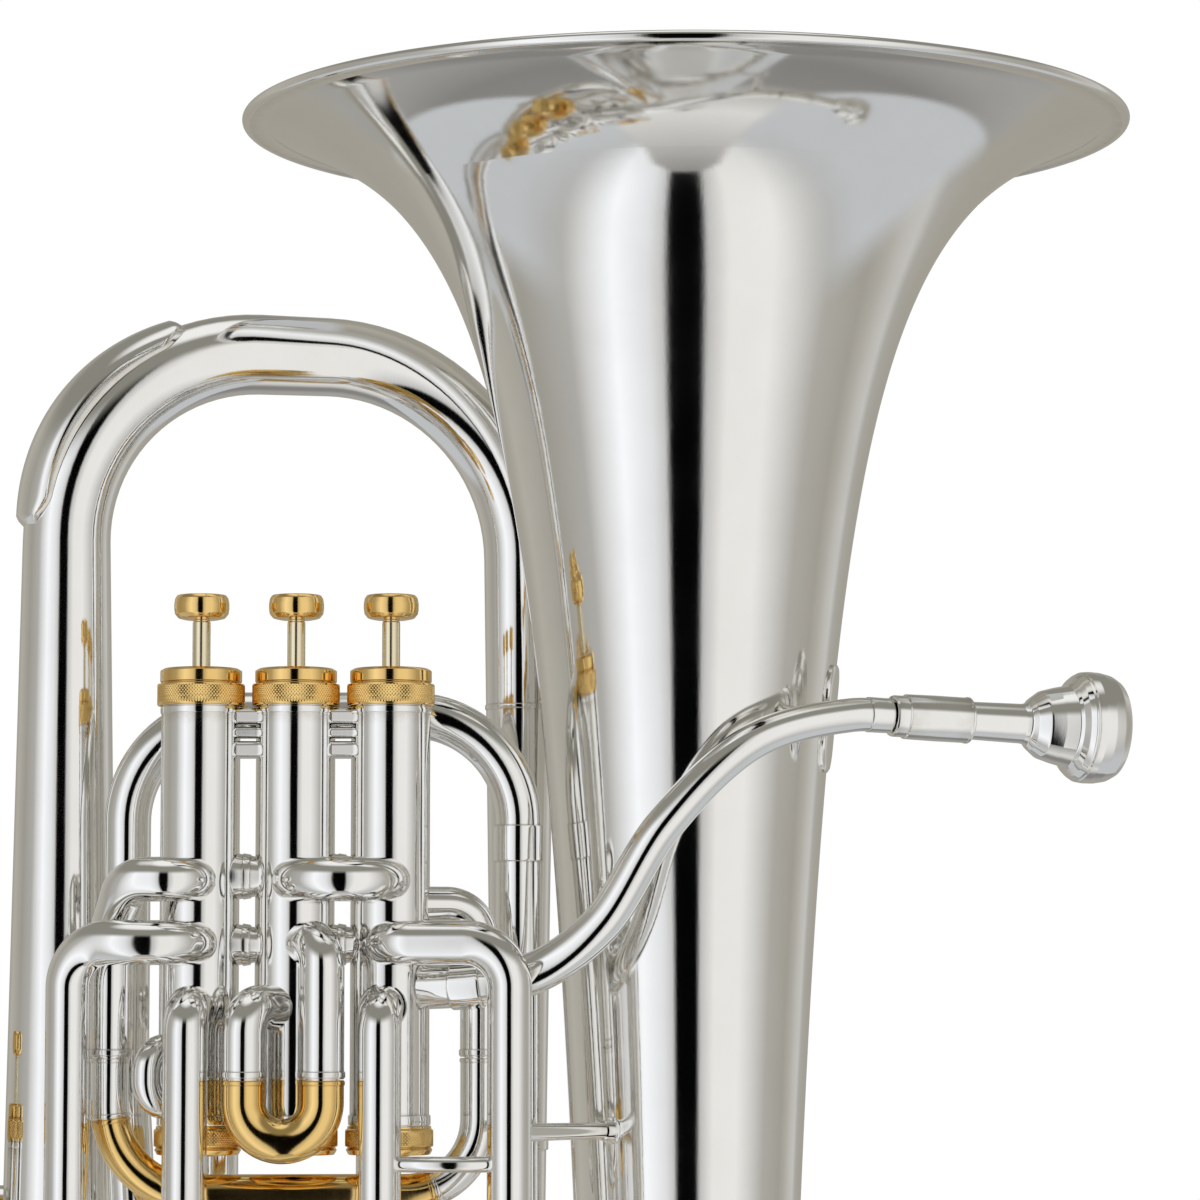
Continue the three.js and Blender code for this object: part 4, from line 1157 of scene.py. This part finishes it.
def build_backdrop():
    """A plain white surround that only the camera sees."""
    material = bpy.data.materials.new("backdrop_white")
    graph = Graph(material)
    glow = graph.node("Emission", {"Color": (1, 1, 1, 1), "Strength": 1.0})
    graph.node("OutputMaterial", {"Surface": glow.outputs["Emission"]})
    around, up, radius = 64, 24, 14.0
    across, along = oval(around)
    points = []
    for e in np.linspace(-math.pi / 2, math.pi / 2, up + 1):
        points += zip(radius * math.cos(e) * across, radius * math.cos(e) * along,
                      [radius * math.sin(e)] * around)
    faces = [face[::-1] for face in between_rings(around, up + 1)]
    stage_mesh("studio_backdrop", points, faces, material, diffuse=False)


# The studio round the horizon: degrees from the camera's direction towards +X, a grey
# value, and its warmth.
SURROUND = [
    (-180, 0.38, 0.17), (-165, 0.37, 0.17), (-150, 0.39, 0.17), (-135, 0.46, 0.14),
    (-118, 0.42, 0.14), (-98, 0.36, 0.13), (-70, 0.45, 0.06), (-60, 0.68, -0.01),
    (-42, 1.02, -0.07), (-22, 0.80, -0.05), (-14, 0.60, 0.0), (-10.5, 0.001, 0.0),
    (8.0, 0.001, 0.0), (11.5, 0.55, 0.0), (24, 0.86, 0.03), (48, 0.87, 0.02),
    (62, 0.69, 0.03), (80, 0.44, 0.10), (104, 0.38, 0.14), (114, 0.45, 0.12),
    (122, 0.53, 0.08), (131, 0.58, 0.05), (138, 0.42, 0.10), (150, 0.39, 0.15),
    (165, 0.37, 0.17), (180, 0.38, 0.17)]
# The table under the object, from the camera's side to the far side.
TABLE = [(-0.40, 0.28, 0.05), (-0.25, 0.44, 0.04), (0.0, 0.62, 0.03), (0.16, 0.74, 0.03),
         (0.30, 0.55, 0.04), (0.42, 0.26, 0.06), (0.60, 0.24, 0.06), (0.74, 0.34, 0.03),
         (1.0, 0.42, 0.03)]
# Slope and middle value of the lines that bound the table's half width.
NOSE_SIDE, NOSE_FRONT = (1.17, 0.5155), (20.0, 7.73)
FLANK, FAR_SIDE = (0.12, 0.187), (0.6, 0.0)
SCREEN_COLOUR = (0.55, 0.57, 0.595, 1)
CEILING_COLOUR = (0.26, 0.255, 0.225, 1)
OVERHEAD_COLOUR = (0.92, 0.92, 0.91, 1)


def warmed(grey, warmth):
    return (grey, grey * (1 - 0.3 * warmth), grey * (1 - warmth), 1)


def ramp_of(graph, value, stops_in):
    """Colour ramp along a value, from a table of (value, grey, warmth)."""
    low, high = stops_in[0][0], stops_in[-1][0]
    ramp = graph.node("ValToRGB", {"Fac": graph.rescale(value, low, high)})
    stops = ramp.color_ramp.elements
    while len(stops) > 1:
        stops.remove(stops[-1])
    for i, (at, grey, warmth) in enumerate(stops_in):
        place = (at - low) / (high - low)
        stop = stops[0] if i == 0 else stops.new(place)
        stop.position = place
        stop.color = warmed(grey, warmth)
    return ramp.outputs["Color"]


def build_world():
    world = bpy.data.worlds.new("studio")
    bpy.context.scene.world = world
    graph = Graph(world)
    compute, mix, smooth = graph.compute, graph.mix, graph.smooth
    split = graph.node("SeparateXYZ", {0: graph.coordinates("Generated")})
    x, y, z = (split.outputs[k] for k in ("X", "Y", "Z"))

    degrees = compute("DEGREES", compute("ARCTAN2", x, compute("MULTIPLY", y, -1.0)))
    walls = ramp_of(graph, degrees, SURROUND)
    # Below the horizon, two wide soft screens reach down on either side of a table.
    # Its half width depends on how far back it is: a blunt nose, then slanting sides.
    side = compute("ABSOLUTE", x)

    def sloped(slope, at_centre):
        return compute("MULTIPLY_ADD", y, slope, at_centre)

    tip = compute("MINIMUM", sloped(*NOSE_SIDE), sloped(*NOSE_FRONT))
    edge = compute("MAXIMUM", compute("MINIMUM", tip, sloped(*FLANK)), sloped(*FAR_SIDE))
    outside = compute("SUBTRACT", side, edge)
    table = ramp_of(graph, y, TABLE)
    screens = mix(compute("MULTIPLY", smooth(side, 0.10, 0.22), smooth(y, -0.45, 0.10)),
                  walls, SCREEN_COLOUR)
    below = mix(smooth(outside, -0.02, 0.025), table, screens)
    lower = mix(smooth(z, -0.36, -0.52), walls, below)
    ceiling = mix(smooth(z, 0.40, 0.68), lower, CEILING_COLOUR)
    upper = mix(smooth(z, 0.88, 0.98), ceiling, OVERHEAD_COLOUR)
    glow = graph.node("Background", {"Color": upper, "Strength": 1.0})
    graph.node("OutputWorld", {"Surface": glow.outputs["Background"]})


build_camera()
build_floor()
build_backdrop()
build_world()
bpy.context.scene.view_settings.view_transform = "Standard"
